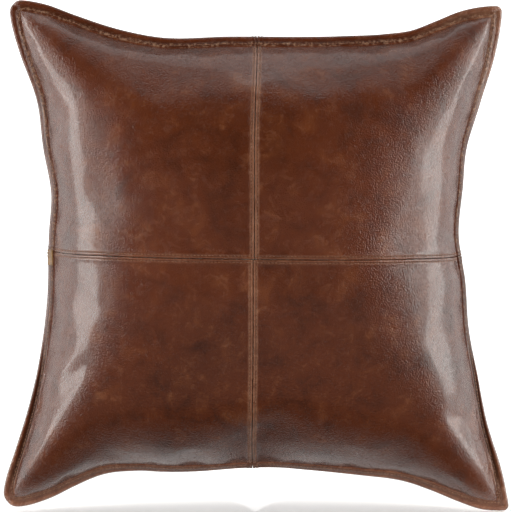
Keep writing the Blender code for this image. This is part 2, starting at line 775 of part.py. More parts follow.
add_front()
add_front_topstitch()
add_flange_stitch()
add_seam_end_patch()
add_back()
add_zipper_stitch()
add_chain()
add_stops()
add_pull_tab(add_slider())
add_insert()
add_fill()
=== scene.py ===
"""Looks of the patchwork leather throw pillow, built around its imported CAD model.

Metres, +Z up, the front faces -Y. Each leather panel is a fine sheet on the pillow's own
shape, filled by a cloth simulation, then given its seams, welts, flange and wrinkles.
"""
import math
from typing import NamedTuple

import bpy
import numpy as np
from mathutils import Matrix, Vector


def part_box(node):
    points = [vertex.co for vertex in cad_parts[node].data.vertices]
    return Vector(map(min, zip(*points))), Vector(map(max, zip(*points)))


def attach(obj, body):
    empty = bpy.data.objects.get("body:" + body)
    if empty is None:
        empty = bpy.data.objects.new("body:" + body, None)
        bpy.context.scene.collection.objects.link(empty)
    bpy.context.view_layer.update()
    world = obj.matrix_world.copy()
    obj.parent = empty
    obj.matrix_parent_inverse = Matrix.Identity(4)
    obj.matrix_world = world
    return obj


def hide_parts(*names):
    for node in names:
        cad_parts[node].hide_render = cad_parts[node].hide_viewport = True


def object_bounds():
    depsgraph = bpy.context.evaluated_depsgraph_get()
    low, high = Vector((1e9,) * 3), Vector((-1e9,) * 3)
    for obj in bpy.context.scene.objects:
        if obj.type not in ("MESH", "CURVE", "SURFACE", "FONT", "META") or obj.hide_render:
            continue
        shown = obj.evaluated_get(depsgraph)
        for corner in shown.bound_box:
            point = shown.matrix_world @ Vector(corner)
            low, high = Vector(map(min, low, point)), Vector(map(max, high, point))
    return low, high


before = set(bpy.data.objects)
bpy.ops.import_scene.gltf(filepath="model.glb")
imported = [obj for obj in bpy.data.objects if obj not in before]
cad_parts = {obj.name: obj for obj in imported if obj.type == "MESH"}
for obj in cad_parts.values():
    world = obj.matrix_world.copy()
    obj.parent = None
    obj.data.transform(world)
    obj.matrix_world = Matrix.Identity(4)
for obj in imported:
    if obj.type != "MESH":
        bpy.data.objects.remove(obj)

CAD_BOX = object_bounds()

# ---------- sizes from the CAD model

HEIGHT = float(CAD_BOX[1][2])
CROWN_Y = float(CAD_BOX[1][1])        # the back's crown; the front's is its mirror image
LEATHER = 0.0012
FLANGE = 0.0127                       # flat border outside the fold
FLANGE_HALF = 0.0015                  # middle of the flange to its outer face
FLANGE_STITCH = 0.0025                # from the fold out to the flange's stitch line
CROWN = CROWN_Y - FLANGE_HALF
ROUNDNESS = 2.45                      # of the bulge between two sides: 2 is a parabola
RIDGE = 0.7                           # sharper ridges to the corners the larger it is
FULLNESS = 0.55                       # fuller near the fold the smaller it is
SEAM_GAP = 0.0004
SEAM_STITCH = 0.0030                  # from a seam to its stitch line
ZIPPER_Z = 0.155
ZIPPER_HALF = 0.160
ZIPPER_OPENING = 0.012
ZIPPER_STITCH = 0.003
ZIPPER_STRIP = 0.010                  # leather that lies over the zipper's tape
OPENING_TAPER = 0.008
STRIP_FADE = 0.055                    # over which the track's shape turns into the back's
STRIP_ROOM = 0.032                    # the same, at the track's two ends
TRACK_AXIS_Y = -0.387194220           # the zipper runs on a cone round an upright axis
TRACK_RADIUS = 0.479466
TRACK_LEAN = math.radians(19.1558)

# ---------- sizes of the visible detail

BEND = 0.004                          # the flange curls back over this much of its width
BACK_SWELL = 1.05                     # the back's crown is fuller than the front's, and cut flat
CROWN_BLEND = 0.006                   # depth over which the back's crown turns flat
STILL_DEPTH, STILL_FADE = 0.080, 0.020    # the back's folds fade beyond this depth, to keep it flat
GUTTER_DEPTH = 0.0024                 # deepest hollow between the flange's rim and the fold
LIP = 0.0006                          # radius of a panel's rolled edge at a seam
RIM_EDGE = 0.0012                     # radius of the flange's outer edge
ZIPPER_LIP = 0.0007                   # radius of the rolled edges beside the zipper
STITCH_PITCH = 0.0036
STITCH_LENGTH = 0.0029
THREAD = 0.00075
GRID_STEP = 0.0024                    # between two lines of a front panel
FAR_INSIDE = 1.0                      # inset given to points that are not near the outline
SETTLE_ROUNDS = 24                    # x and z depend on each other's edges, so they are solved in turns
BACK_STEP = 0.0034
TAPER_STEP = 0.001                    # beside the zipper's two ends


def mix(a, b, share):
    return a + (b - a) * share


def ease(value):
    value = np.clip(value, 0.0, 1.0)
    return value * value * (3 - 2 * value)


def hump(distance, centre, width):
    """1 at centre, fading to 0 over about width on both sides."""
    return np.exp(-((distance - centre) / width) ** 2)


def smooth_curve(points):
    """A function through the given (position, value) points, with no kinks."""
    at, value = np.array(points).T
    slope = np.gradient(value, at)

    def curve(x):
        k = np.clip(np.searchsorted(at, x) - 1, 0, len(at) - 2)
        span = at[k + 1] - at[k]
        t = np.clip((x - at[k]) / span, 0.0, 1.0)
        rise = t * t * (3 - 2 * t)
        start, end = t * (1 - t) ** 2, t * t * (t - 1)
        return mix(value[k], value[k + 1], rise) + span * (slope[k] * start + slope[k + 1] * end)

    return curve


# ---------- outline of the pillow

LEFT_SIDE = smooth_curve([
    (0.000, -0.2745), (0.034, -0.2690), (0.068, -0.2578), (0.120, -0.2416), (0.171, -0.2304),
    (0.223, -0.2232), (0.300, -0.2203), (0.339, -0.2175), (0.390, -0.2260), (0.442, -0.2327),
    (0.493, -0.2508), (0.522, -0.2588), (0.549, -0.2622),
])
RIGHT_SIDE = smooth_curve([
    (0.000, 0.2742), (0.042, 0.2656), (0.094, 0.2492), (0.145, 0.2383), (0.197, 0.2275),
    (0.248, 0.2232), (0.300, 0.2156), (0.345, 0.2198), (0.390, 0.2245), (0.442, 0.2400),
    (0.493, 0.2552), (0.522, 0.2604), (0.549, 0.2625),
])
BOTTOM_SIDE = smooth_curve([
    (-0.273, 0.0040), (-0.247, 0.0062), (-0.221, 0.0145), (-0.196, 0.0268), (-0.165, 0.0398),
    (-0.130, 0.0438), (-0.098, 0.0426), (-0.060, 0.0438), (0.015, 0.0478), (0.062, 0.0445),
    (0.114, 0.0393), (0.165, 0.0312), (0.191, 0.0220), (0.217, 0.0112), (0.243, 0.0024),
    (0.273, 0.0005),
])
TOP_SIDE = smooth_curve([
    (-0.265, 0.5470), (-0.247, 0.5470), (-0.221, 0.5422), (-0.196, 0.5330), (-0.144, 0.5160),
    (-0.105, 0.5082), (-0.028, 0.5086), (0.088, 0.5090), (0.140, 0.5116), (0.165, 0.5150),
    (0.191, 0.5248), (0.217, 0.5352), (0.243, 0.5404), (0.263, 0.5412),
])
ROUND_CORNERS = {"bottom_left": 0.020, "top_left": 0.015, "bottom_right": 0.007, "top_right": 0.007}


def curl_along(middle, corner, centre, half_length):
    """How far the flange curls back along a side, in radians, in its middle and at its corners."""
    def curl(position):
        return mix(middle, corner, np.clip((position - centre) / half_length, -1, 1) ** 2)

    return curl


curl_left = curl_along(1.13, 0.30, HEIGHT / 2, HEIGHT / 2)
curl_right = curl_along(1.46, 0.30, HEIGHT / 2, HEIGHT / 2)
curl_bottom = curl_along(1.19, 0.25, 0.0, 0.27)
curl_top = curl_along(0.66, 0.30, 0.0, 0.26)


def gutter_share(x, z):
    """How sharply the flange is folded along the panels: most on the lower parts of the sides."""
    low_side = ease((np.abs(x) - 0.200) / 0.025) * ease((z - 0.018) / 0.030)
    return 0.15 + 0.85 * low_side * (1 - ease((z - 0.135) / 0.070))


def gutter(border):
    """1 in the hollow between the flange's rim and the fold, 0 outside it."""
    return ease((border - 0.0044) / 0.0026) * (1 - ease((border - 0.0108) / 0.0017))


def curled(outward, angle, steps=10):
    """(across, back) of a point of the flange's middle, outward from the fold."""
    across, back = 0.0, 0.0
    for k in range(steps):
        turned = angle * ease(outward * (k + 0.5) / steps / BEND)
        across = across + np.cos(turned) * outward / steps
        back = back + np.sin(turned) * outward / steps
    return across, back


def inward(inset, angle):
    """Distance inside the outline of a line at inset, which is measured along the leather."""
    outward = np.maximum(FLANGE - inset, 0.0)
    width = curled(FLANGE + 0.0 * outward, angle)[0]
    return width - curled(outward, angle)[0] + np.maximum(inset - FLANGE, 0.0)


def outline_edge(side, curl, inwards):
    """A function for the line at inset inside one side of the outline."""
    return lambda position, inset: side(position) + inwards * inward(inset, curl(position))


left_edge = outline_edge(LEFT_SIDE, curl_left, 1)
right_edge = outline_edge(RIGHT_SIDE, curl_right, -1)
bottom_edge = outline_edge(BOTTOM_SIDE, curl_bottom, 1)
top_edge = outline_edge(TOP_SIDE, curl_top, -1)
OUTLINE_EDGES = (left_edge, right_edge, bottom_edge, top_edge)


def upper_seam_x(z):
    return -0.0010 + 0.0028 * ease((z - 0.38) / 0.13)


def lower_seam_x(z):
    return -0.0023 - 0.0014 * hump(z, 0.09, 0.06)


def cross_seam_z(x):
    return 0.2779 - 0.0115 * x


def half_opening(x):
    beyond = ease((np.abs(x) - ZIPPER_HALF) / OPENING_TAPER)
    return mix(ZIPPER_OPENING / 2, SEAM_GAP / 2, beyond)


# ---------- smooth fields

def field_at(grid, s, t):
    """Cubic B-spline through a grid of values, read at s, t from 0 to 1."""
    rows, cols = grid.shape[:2]
    s = np.clip(s, 0, 1) * (rows - 1)
    t = np.clip(t, 0, 1) * (cols - 1)
    i, j = np.minimum(s.astype(int), rows - 2), np.minimum(t.astype(int), cols - 2)
    ws, wt = spline_weights(s - i), spline_weights(t - j)
    total = 0.0
    for a in range(4):
        for b in range(4):
            value = grid[np.clip(i + a - 1, 0, rows - 1), np.clip(j + b - 1, 0, cols - 1)]
            weight = ws[a] * wt[b]
            total = total + value * (weight[..., None] if value.ndim > weight.ndim else weight)
    return total


def spline_weights(t):
    return ((1 - t) ** 3 / 6, (3 * t ** 3 - 6 * t ** 2 + 4) / 6,
            (-3 * t ** 3 + 3 * t ** 2 + 3 * t + 1) / 6, t ** 3 / 6)


class Clouds:
    """Smooth random values over x, z, about -1 to 1, the same in each run."""

    def __init__(self, seed, cell_x, cell_z):
        self.cells = (int(0.62 / cell_x) + 2, int(0.62 / cell_z) + 2)
        self.size = (cell_x * (self.cells[0] - 1), cell_z * (self.cells[1] - 1))
        self.grid = np.random.default_rng(seed).uniform(-1.6, 1.6, self.cells)

    def at(self, x, z):
        return field_at(self.grid, (x + 0.31) / self.size[0], (z + 0.03) / self.size[1])


# ---------- the filled shape

def unit_place(x, z, fold=FLANGE):
    """x, z as -1 to 1 between the folds."""
    left, right = left_edge(z, fold), right_edge(z, fold)
    low, high = bottom_edge(x, fold), top_edge(x, fold)
    return 2 * (x - left) / (right - left) - 1, 2 * (z - low) / (high - low) - 1


def dome(u, v, crown=CROWN):
    """Height over the flange. RIDGE makes each corner a tent with a ridge down its diagonal."""
    across = np.maximum(1 - np.abs(u) ** ROUNDNESS, 1e-6)
    upward = np.maximum(1 - np.abs(v) ** ROUNDNESS, 1e-6)
    bulge = (across ** -RIDGE + upward ** -RIDGE - 1) ** (-1 / RIDGE)
    return crown * np.maximum(bulge - 2e-6, 0) ** FULLNESS


def on_track(x, z):
    radius = TRACK_RADIUS + (z - ZIPPER_Z) * math.tan(TRACK_LEAN)
    return TRACK_AXIS_Y + np.sqrt(radius ** 2 - x ** 2) - FLANGE_HALF


def strip_share(x, z):
    """1 where the back is the zipper's track, 0 away from it."""
    flat = ZIPPER_OPENING / 2 + ZIPPER_STRIP + SEAM_STITCH
    inside = np.minimum(right_edge(z, FLANGE) - x, x - left_edge(z, FLANGE))
    return (1 - ease((np.abs(z - ZIPPER_Z) - flat) / STRIP_FADE)) * ease(inside / STRIP_ROOM)


# ---------- meshes

def grid_faces(columns, rows, flip=False):
    corner = np.arange(columns * rows).reshape(columns, rows)[:-1, :-1].ravel()
    quads = np.stack([corner, corner + rows, corner + rows + 1, corner + 1], -1)
    return quads[:, ::-1] if flip else quads


def new_mesh(name, points, faces):
    mesh = bpy.data.meshes.new(name)
    mesh.from_pydata(np.asarray(points).reshape(-1, 3).tolist(), [], faces)
    mesh.shade_smooth()
    return mesh


def add_object(name, data, look=None):
    """A new object of a mesh, a lamp or a camera, in the scene."""
    piece = bpy.data.objects.new(name, data)
    bpy.context.scene.collection.objects.link(piece)
    if look is not None:
        data.materials.append(look)
    return piece


# ---------- cloth simulation

SIM_CELLS = 76
SIM_FRAMES = 20
SIM_CAP = 0.006                       # a point moves no further
SIM_RIPPLE = 0.0006                   # unevenness of the form, which starts the folds
SIM_SETTINGS = {
    "quality": 6, "mass": 0.4, "tension_stiffness": 40, "compression_stiffness": 40,
    "shear_stiffness": 20, "bending_stiffness": 6, "air_damping": 4, "vertex_group_mass": "held",
    "use_pressure": True, "uniform_pressure_force": 4.0,
    "shrink_min": -0.011,             # the leather is 1.1% larger than the bare form
}


def sim_axis():
    return np.sin(np.linspace(-1, 1, SIM_CELLS + 1) * math.pi / 2)


def place_of_unit(u, v):
    """x, z of -1 to 1 between the folds."""
    x, z = 0.0 * u, HEIGHT / 2 + 0.0 * u
    for _ in range(SETTLE_ROUNDS // 2):
        x = mix(left_edge(z, FLANGE), right_edge(z, FLANGE), (u + 1) / 2)
        z = mix(bottom_edge(x, FLANGE), top_edge(x, FLANGE), (v + 1) / 2)
    return x, z


def simulated_fill():
    """How far each point of the front and the back moves when the cover is filled.

    The bare form's two faces are one closed mesh, held at its folds. Pressure swells it, and
    because the leather is a little larger than the form, it buckles into soft folds.
    """
    count = SIM_CELLS + 1
    u, v = np.meshgrid(sim_axis(), sim_axis(), indexing="ij")
    x, z = place_of_unit(u, v)
    ripple = Clouds(7, 0.03, 0.03).at(x, z) * SIM_RIPPLE
    front = np.stack([x, -FLANGE_HALF - dome(u, v) + ripple, z], -1).reshape(-1, 3)
    back = np.stack([x, FLANGE_HALF + dome(u, v) - ripple, z], -1).reshape(-1, 3)
    edge = ((np.abs(u) > 1 - 1e-9) | (np.abs(v) > 1 - 1e-9)).ravel()
    front[edge, 1] = 0.0
    back_index = np.arange(count * count)
    back_index[~edge] = count * count + np.arange((~edge).sum())
    faces = np.concatenate([grid_faces(count, count), back_index[grid_faces(count, count, True)]])
    start = np.concatenate([front, back[~edge]])
    filled = add_object("fill_simulation", new_mesh("fill_simulation", start, faces.tolist()))
    filled.vertex_groups.new(name="held").add(np.flatnonzero(edge).tolist(), 1.0, "REPLACE")
    cloth = filled.modifiers.new("cloth", "CLOTH")
    for setting, value in SIM_SETTINGS.items():
        setattr(cloth.settings, setting, value)
    cloth.settings.effector_weights.gravity = 0
    cloth.collision_settings.use_collision = False
    cloth.point_cache.frame_start = 1
    cloth.point_cache.frame_end = SIM_FRAMES
    scene = bpy.context.scene
    for step in range(1, SIM_FRAMES + 1):
        scene.frame_set(step)
    depsgraph = bpy.context.evaluated_depsgraph_get()
    result = filled.evaluated_get(depsgraph).to_mesh()
    end = np.zeros(len(start) * 3)
    result.vertices.foreach_get("co", end)
    scene.frame_set(1)
    bpy.data.objects.remove(filled)
    moved = end.reshape(-1, 3) - start
    length = np.linalg.norm(moved, axis=1, keepdims=True)
    moved *= SIM_CAP * np.tanh(length / SIM_CAP) / np.maximum(length, 1e-9)
    moved[:count * count][edge] = 0.0
    print("simulated: largest move %.1f mm before its cap" % (1000 * float(length.max())))
    return np.stack([moved[:count * count], moved[back_index]]).reshape(2, count, count, 3)


FILL = simulated_fill()


def filled_move(side, u, v):
    """What the simulation moves the front (0) or the back (1) by, at u, v of -1 to 1."""
    s, t = ((2 / math.pi * np.arcsin(np.clip(w, -1, 1)) + 1) / 2 for w in (u, v))
    return field_at(FILL[side], s, t)


# ---------- grids on the shape

class Lines(NamedTuple):
    """Grid lines: at share of the way between start inside one edge and end inside the other."""

    share: np.ndarray
    start: np.ndarray
    end: np.ndarray


class Edges(NamedTuple):
    """Functions of (position, inset) for the lines that bound a grid."""

    left: object
    right: object
    bottom: object
    top: object


OUTLINE_INSETS = np.array([
    0.0, 0.00012, 0.0004, 0.0008, 0.0013, 0.0018, 0.0024, 0.0031, 0.0039, 0.0048, 0.0058, 0.0068,
    0.0077, 0.0085, 0.0091, 0.0096, 0.0101, 0.0106, 0.0111, 0.0116, 0.0121, 0.0125, 0.0127,
    0.01275, 0.01285, 0.0130, 0.0133, 0.0138, 0.0146, 0.0158, 0.0174, 0.0194, 0.0217,
])
SEAM_INSETS = np.array([
    0.0, 0.00006, 0.0002, 0.0004, 0.0007, 0.0011, 0.0015, 0.0019, 0.0023, 0.0027, 0.0030, 0.0033,
    0.0037, 0.0042, 0.0048, 0.0056, 0.0066, 0.0078, 0.0094, 0.0114,
])


def lines_between(start, share, end):
    """Lines at the insets of start, at the shares between, and at the insets of end."""
    full = np.ones(len(share))
    return Lines(
        np.concatenate([0 * start, share, 0 * end + 1]),
        np.concatenate([start, full * start[-1], 0 * end + start[-1]]),
        np.concatenate([0 * start + end[-1], full * end[-1], end[::-1]]),
    )


def grid_lines(start, end, length, step):
    """Lines at the insets of start and of end, and evenly spaced ones between, step apart."""
    between = max(2, round((length - start[-1] - end[-1]) / step))
    return lines_between(start, np.arange(1, between) / between, end)


def rounded(a, b, radius):
    """Insets a, b from two sides, moved onto arcs where both are less than radius."""
    p, q = np.maximum(radius - a, 0.0), np.maximum(radius - b, 0.0)
    inside = (p > 0) & (q > 0)
    shrink = np.where(inside, np.maximum(p, q) / np.maximum(np.hypot(p, q), 1e-9), 1.0)
    return np.where(inside, radius - p * shrink, a), np.where(inside, radius - q * shrink, b)


class Place(NamedTuple):
    """Where the crossings of a grid's lines are, and how they lie to the edges."""

    x: np.ndarray
    z: np.ndarray
    border: np.ndarray                # inset from the outline, large away from it
    back: np.ndarray                  # how far back the flange's curl takes it
    normal: np.ndarray                # of the flange, towards the front


def settle(columns, rows, edges, corners):
    """Crossings of columns and rows. corners names the outline's corners that are rounded."""
    flat = np.zeros((len(columns.share), len(rows.share)))
    col = Lines(*(flat + part[:, None] for part in columns))
    row = Lines(*(flat + part[None, :] for part in rows))
    at_left, at_right = col.share == 0, col.share == 1
    at_bottom, at_top = row.share == 0, row.share == 1
    insets = {"left": col.start, "right": col.end, "bottom": row.start, "top": row.end}
    at = {"left": at_left, "right": at_right, "bottom": at_bottom, "top": at_top}
    for name in corners:
        level, side = name.split("_")
        both = at[side] & at[level]
        a, b = rounded(insets[side], insets[level], ROUND_CORNERS[name])
        insets[side] = np.where(both, a, insets[side])
        insets[level] = np.where(both, b, insets[level])
    x, z = flat.copy(), flat + HEIGHT / 2
    for _ in range(SETTLE_ROUNDS):
        x = mix(edges.left(z, insets["left"]), edges.right(z, insets["right"]), col.share)
        z = mix(edges.bottom(x, insets["bottom"]), edges.top(x, insets["top"]), row.share)
    border = flat + FAR_INSIDE
    back = flat.copy()
    tilt_x, tilt_z = flat.copy(), flat.copy()
    sides = [(edges.left, at_left, col.start, curl_left(z), -1, 0),
             (edges.right, at_right, col.end, curl_right(z), 1, 0),
             (edges.bottom, at_bottom, row.start, curl_bottom(x), 0, -1),
             (edges.top, at_top, row.end, curl_top(x), 0, 1)]
    for edge, here, inset, angle, out_x, out_z in sides:
        if edge not in OUTLINE_EDGES:
            continue
        outward = np.where(here, np.maximum(FLANGE - inset, 0), 0.0)
        border = np.where(here, np.minimum(border, inset), border)
        back = back + curled(outward, angle)[1]
        back = back + np.where(here, GUTTER_DEPTH * gutter(inset) * gutter_share(x, z), 0.0)
        turned = np.where(outward > 0, angle * ease(outward / BEND), 0.0)
        tilt_x = tilt_x + out_x * np.sin(turned)
        tilt_z = tilt_z + out_z * np.sin(turned)
    normal = np.stack([tilt_x, -np.sqrt(np.maximum(1 - tilt_x ** 2 - tilt_z ** 2, 0.02)), tilt_z], -1)
    return Place(x, z, border, back, unit(normal))


def unit(vectors):
    return vectors / np.maximum(np.linalg.norm(vectors, axis=-1, keepdims=True), 1e-12)


def normals_of(points):
    """Unit normals of a grid of points, towards -Y for columns by rows."""
    return unit(np.cross(np.gradient(points, axis=0), np.gradient(points, axis=1)))


# ---------- relief of the leather

BROAD = Clouds(11, 0.055, 0.055)
SOFT = Clouds(12, 0.019, 0.023)
FINE = Clouds(13, 0.0075, 0.0080)
WAVES = Clouds(14, 0.030, 0.030)


def rolled(distance, radius):
    """Height of an edge rolled off to a quarter round, below the surface beside it."""
    fall = np.sqrt(np.maximum(radius ** 2 - (radius - distance) ** 2, 0)) - radius
    return np.where(distance < radius, fall, 0.0)


def seam_relief(distance, x, z):
    """Height of the leather over its bare form, near a seam: rolled lip, welt, stitch valley."""
    welt = 0.00042 * hump(distance, 0.0015, 0.0009) + 0.00020 * hump(distance, 0.0046, 0.0009)
    valley = -0.00034 * hump(distance, SEAM_STITCH, 0.00055) * (1 + 0.35 * FINE.at(x, z))
    allowance = 0.00038 * (1 - ease((distance - 0.0042) / 0.0036))
    return rolled(distance, LIP) + welt + valley + allowance


def seam_wear_and_highlight(distance):
    """How much paler a seam's leather is painted, for wear and for a painted highlight: most on its welt and
    beside its stitches.
    """
    band = 0.20 * (1 - ease((distance - 0.0034) / 0.0018))
    return band + 0.60 * hump(distance, 0.0011, 0.0008) + 0.45 * hump(distance, 0.0040, 0.0006)


def flange_relief(border, x, z):
    """Height of the flange over its flat form, by inset from the outline: a turned rim that is
    round and proud, then a groove that its stitches pull down."""
    rim = 0.00095 * hump(border, 0.0032, 0.0024) * (1 + 0.25 * WAVES.at(x, z))
    groove = -0.00040 * hump(border, FLANGE - FLANGE_STITCH, 0.0013)
    waves = 0.00040 * SOFT.at(x, z) * ease(border / 0.002)
    return np.where(border < FLANGE, rolled(border, RIM_EDGE) + rim + groove + waves, 0.0)


def pucker_of(place):
    """How gathered the leather is beside the flange's stitches: more on the upper half."""
    gathered = hump(place.border, FLANGE - FLANGE_STITCH, 0.0021) * (place.border < FLANGE)
    return gathered * (0.35 + 0.65 * ease((place.z - 0.24) / 0.10))


def flange_wear_and_light(place):
    """How pale the flange is painted: most on its worn raw edge, on its lowest part, where it is painted
    light from below, and on the high right ear.
    """
    # painted light: the lowest part of the flange is painted paler, as light from below
    low_painted_light = 0.40 * (1 - ease((place.z - 0.035) / 0.045))
    high_right = 0.45 * ease((place.x - 0.16) / 0.06) * ease((place.z - 0.40) / 0.08)
    flat = (low_painted_light + high_right) * (place.border < FLANGE)
    return np.maximum(flat, 0.45 * hump(place.border, 0.0007, 0.0010))


def painted_groove_shade_of(place):
    """Painted shade in the hollow along the fold: how much darker the leather is painted there."""
    return (0.35 + 0.65 * gutter_share(place.x, place.z)) * gutter(place.border)


def surface_relief(x, z, u, v):
    """Soft unevenness of the filled leather between its seams."""
    inside = ease(np.minimum(1 - np.abs(u), 1 - np.abs(v)) / 0.06)
    return inside * (0.0014 * BROAD.at(x, z) + 0.00042 * SOFT.at(x, z) + 0.00007 * FINE.at(x, z))


# ---------- pieces

def stands_for(piece, node):
    """The piece is shown in the place of a node of the cover."""
    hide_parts(node)
    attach(piece, "cover")


def add_sheet(name, points, material, thickness, flip=False, **paint):
    """A closed sheet whose outer face is the grid of points, with paint for its material."""
    mesh = new_mesh(name, points, grid_faces(*points.shape[:2], flip).tolist())
    for name_of_paint, values in paint.items():
        layer = mesh.attributes.new(name_of_paint, "FLOAT", "POINT")
        layer.data.foreach_set("value", np.clip(values, 0, 1).ravel().astype(np.float32))
    piece = add_object(name, mesh, material)
    solid = piece.modifiers.new("thickness", "SOLIDIFY")
    solid.thickness = thickness
    solid.offset = -1
    depsgraph = bpy.context.evaluated_depsgraph_get()
    piece.data = bpy.data.meshes.new_from_object(piece.evaluated_get(depsgraph))
    piece.modifiers.clear()
    bpy.data.meshes.remove(mesh)
    piece.data.name = name
    return piece


def joined_mesh(name, parts):
    """One mesh of many (points, faces) parts."""
    points, faces, base = [], [], 0
    for part_points, part_faces in parts:
        points.append(part_points)
        faces.extend([[base + i for i in face] for face in part_faces])
        base += len(part_points)
    return new_mesh(name, np.concatenate(points), faces)


def tube_faces(rings, sides):
    faces = []
    for r in range(rings - 1):
        for k in range(sides):
            n = (k + 1) % sides
            faces.append([r * sides + k, r * sides + n, (r + 1) * sides + n, (r + 1) * sides + k])
    faces.append(list(range(sides))[::-1])
    faces.append(list(range((rings - 1) * sides, rings * sides)))
    return faces


def tube(path, across, up, radius, sides):
    """Points of a tube round a path, which has a radius and a frame at each of its points."""
    turn = np.arange(sides) / sides * 2 * math.pi
    ring = (np.cos(turn)[None, :, None] * across[:, None] + np.sin(turn)[None, :, None] * up[:, None])
    return (path[:, None] + ring * radius[:, None, None]).reshape(-1, 3)


def resample(points, normals, pitch):
    """Evenly spaced places along a path: their points, directions and normals."""
    step = np.linalg.norm(np.diff(points, axis=0), axis=1)
    run = np.concatenate([[0.0], np.cumsum(step)])
    at = np.linspace(pitch / 2, run[-1] - pitch / 2, max(1, int(run[-1] / pitch)))
    apart = 2e-4

    def read(values, where):
        return np.stack([np.interp(where, run, values[:, k]) for k in range(3)], -1)

    ahead = read(points, at + apart) - read(points, at - apart)
    return read(points, at), unit(ahead), unit(read(normals, at))


def stitch_parts(points, normals):
    """One short bent strand for each stitch, whose ends dive into the leather."""
    lift, slant, sides = 0.0001, 0.10, 6
    rings = np.linspace(-1, 1, 7)
    reach = rings * STITCH_LENGTH / 2
    rise = THREAD * (0.42 - 1.05 * np.abs(rings) ** 3) + lift
    width = THREAD / 2 * np.array([0.55, 0.88, 1.0, 1.04, 1.0, 0.88, 0.55])
    parts = []
    for place, ahead, normal in zip(*resample(points, normals, STITCH_PITCH)):
        ahead = unit(ahead + slant * np.cross(ahead, normal))
        path = place + reach[:, None] * ahead + rise[:, None] * normal
        across = np.tile(np.cross(ahead, normal), (len(rings), 1))
        strand = tube(path, across, np.tile(normal, (len(rings), 1)), width, sides)
        parts.append((strand, tube_faces(len(rings), sides)))
    return parts


# ---------- materials

def srgb(red, green, blue):
    """Linear colour of an 8-bit screen colour."""
    return tuple((c / 255 / 12.92 if c <= 10 else ((c / 255 + 0.055) / 1.055) ** 2.4)
                 for c in (red, green, blue)) + (1.0,)


class Shader:
    """A material's node tree, with short ways to add and link nodes."""

    def __init__(self, name):
        self.material = bpy.data.materials.new(name)
        self.material.use_nodes = True
        self.tree = self.material.node_tree
        self.surface = self.tree.nodes["Principled BSDF"]
        self.place = self.node("ShaderNodeTexCoord", {}).outputs["Object"]

    def node(self, kind, inputs, **settings):
        """A new node with its inputs fed, by name or number, with values or from other nodes."""
        node = self.tree.nodes.new(kind)
        for key, value in settings.items():
            setattr(node, key, value)
        self.feed(node, inputs)
        return node

    def feed(self, node, inputs):
        for name, value in inputs.items():
            if isinstance(value, bpy.types.NodeSocket):
                self.tree.links.new(value, node.inputs[name])
            else:
                node.inputs[name].default_value = value

    def painted(self, name):
        return self.node("ShaderNodeAttribute", {}, attribute_name=name).outputs["Fac"]

    def noise(self, scale, detail=4.0, rough=0.55, place=None, warp=0.0):
        return self.node("ShaderNodeTexNoise", {
            "Scale": scale, "Detail": detail, "Roughness": rough, "Distortion": warp,
            "Vector": place or self.place}).outputs["Fac"]

    def cells(self, scale, feature="F1"):
        inputs = {"Scale": scale, "Vector": self.place}
        return self.node("ShaderNodeTexVoronoi", inputs, feature=feature).outputs["Distance"]

    def ribs(self, scale, direction, warp):
        inputs = {"Scale": scale, "Distortion": warp, "Vector": self.place}
        wave = self.node("ShaderNodeTexWave", inputs, wave_type="BANDS", bands_direction=direction)
        return wave.outputs["Fac"]

    def ramp(self, value, *stops):
        node = self.node("ShaderNodeValToRGB", {"Fac": value})
        ramp = node.color_ramp
        ramp.interpolation = "EASE"
        while len(ramp.elements) < len(stops):
            ramp.elements.new(0.5)
        for element, (at, colour) in zip(ramp.elements, stops):
            element.position = at
            element.color = colour
        return node.outputs["Color"]

    def rise(self, value, low, high):
        """0 where value is below low, 1 where it is above high."""
        return self.ramp(value, (low, (0.0, 0.0, 0.0, 1.0)), (high, (1.0, 1.0, 1.0, 1.0)))

    def mapped(self, value, low, high, to_low, to_high):
        """value from low to high becomes to_low to to_high, smoothly."""
        inputs = {"Value": value, "From Min": low, "From Max": high, "To Min": to_low, "To Max": to_high}
        return self.node("ShaderNodeMapRange", inputs, interpolation_type="SMOOTHSTEP").outputs["Result"]

    def mixed(self, share, a, b):
        inputs = {"Factor": share, "A": a, "B": b}
        return self.node("ShaderNodeMix", inputs, data_type="RGBA").outputs["Result"]

    def math(self, how, a, b):
        return self.node("ShaderNodeMath", {0: a, 1: b}, operation=how).outputs[0]

    def times(self, a, b):
        return self.math("MULTIPLY", a, b)

    def plus(self, a, b):
        return self.math("ADD", a, b)

    def bump(self, height, strength, distance, **under):
        inputs = {"Strength": strength, "Distance": distance, "Height": height, **under}
        return self.node("ShaderNodeBump", inputs).outputs["Normal"]

    def finish(self, **sockets):
        self.feed(self.surface, {name.replace("_", " "): value for name, value in sockets.items()})
        return self.material


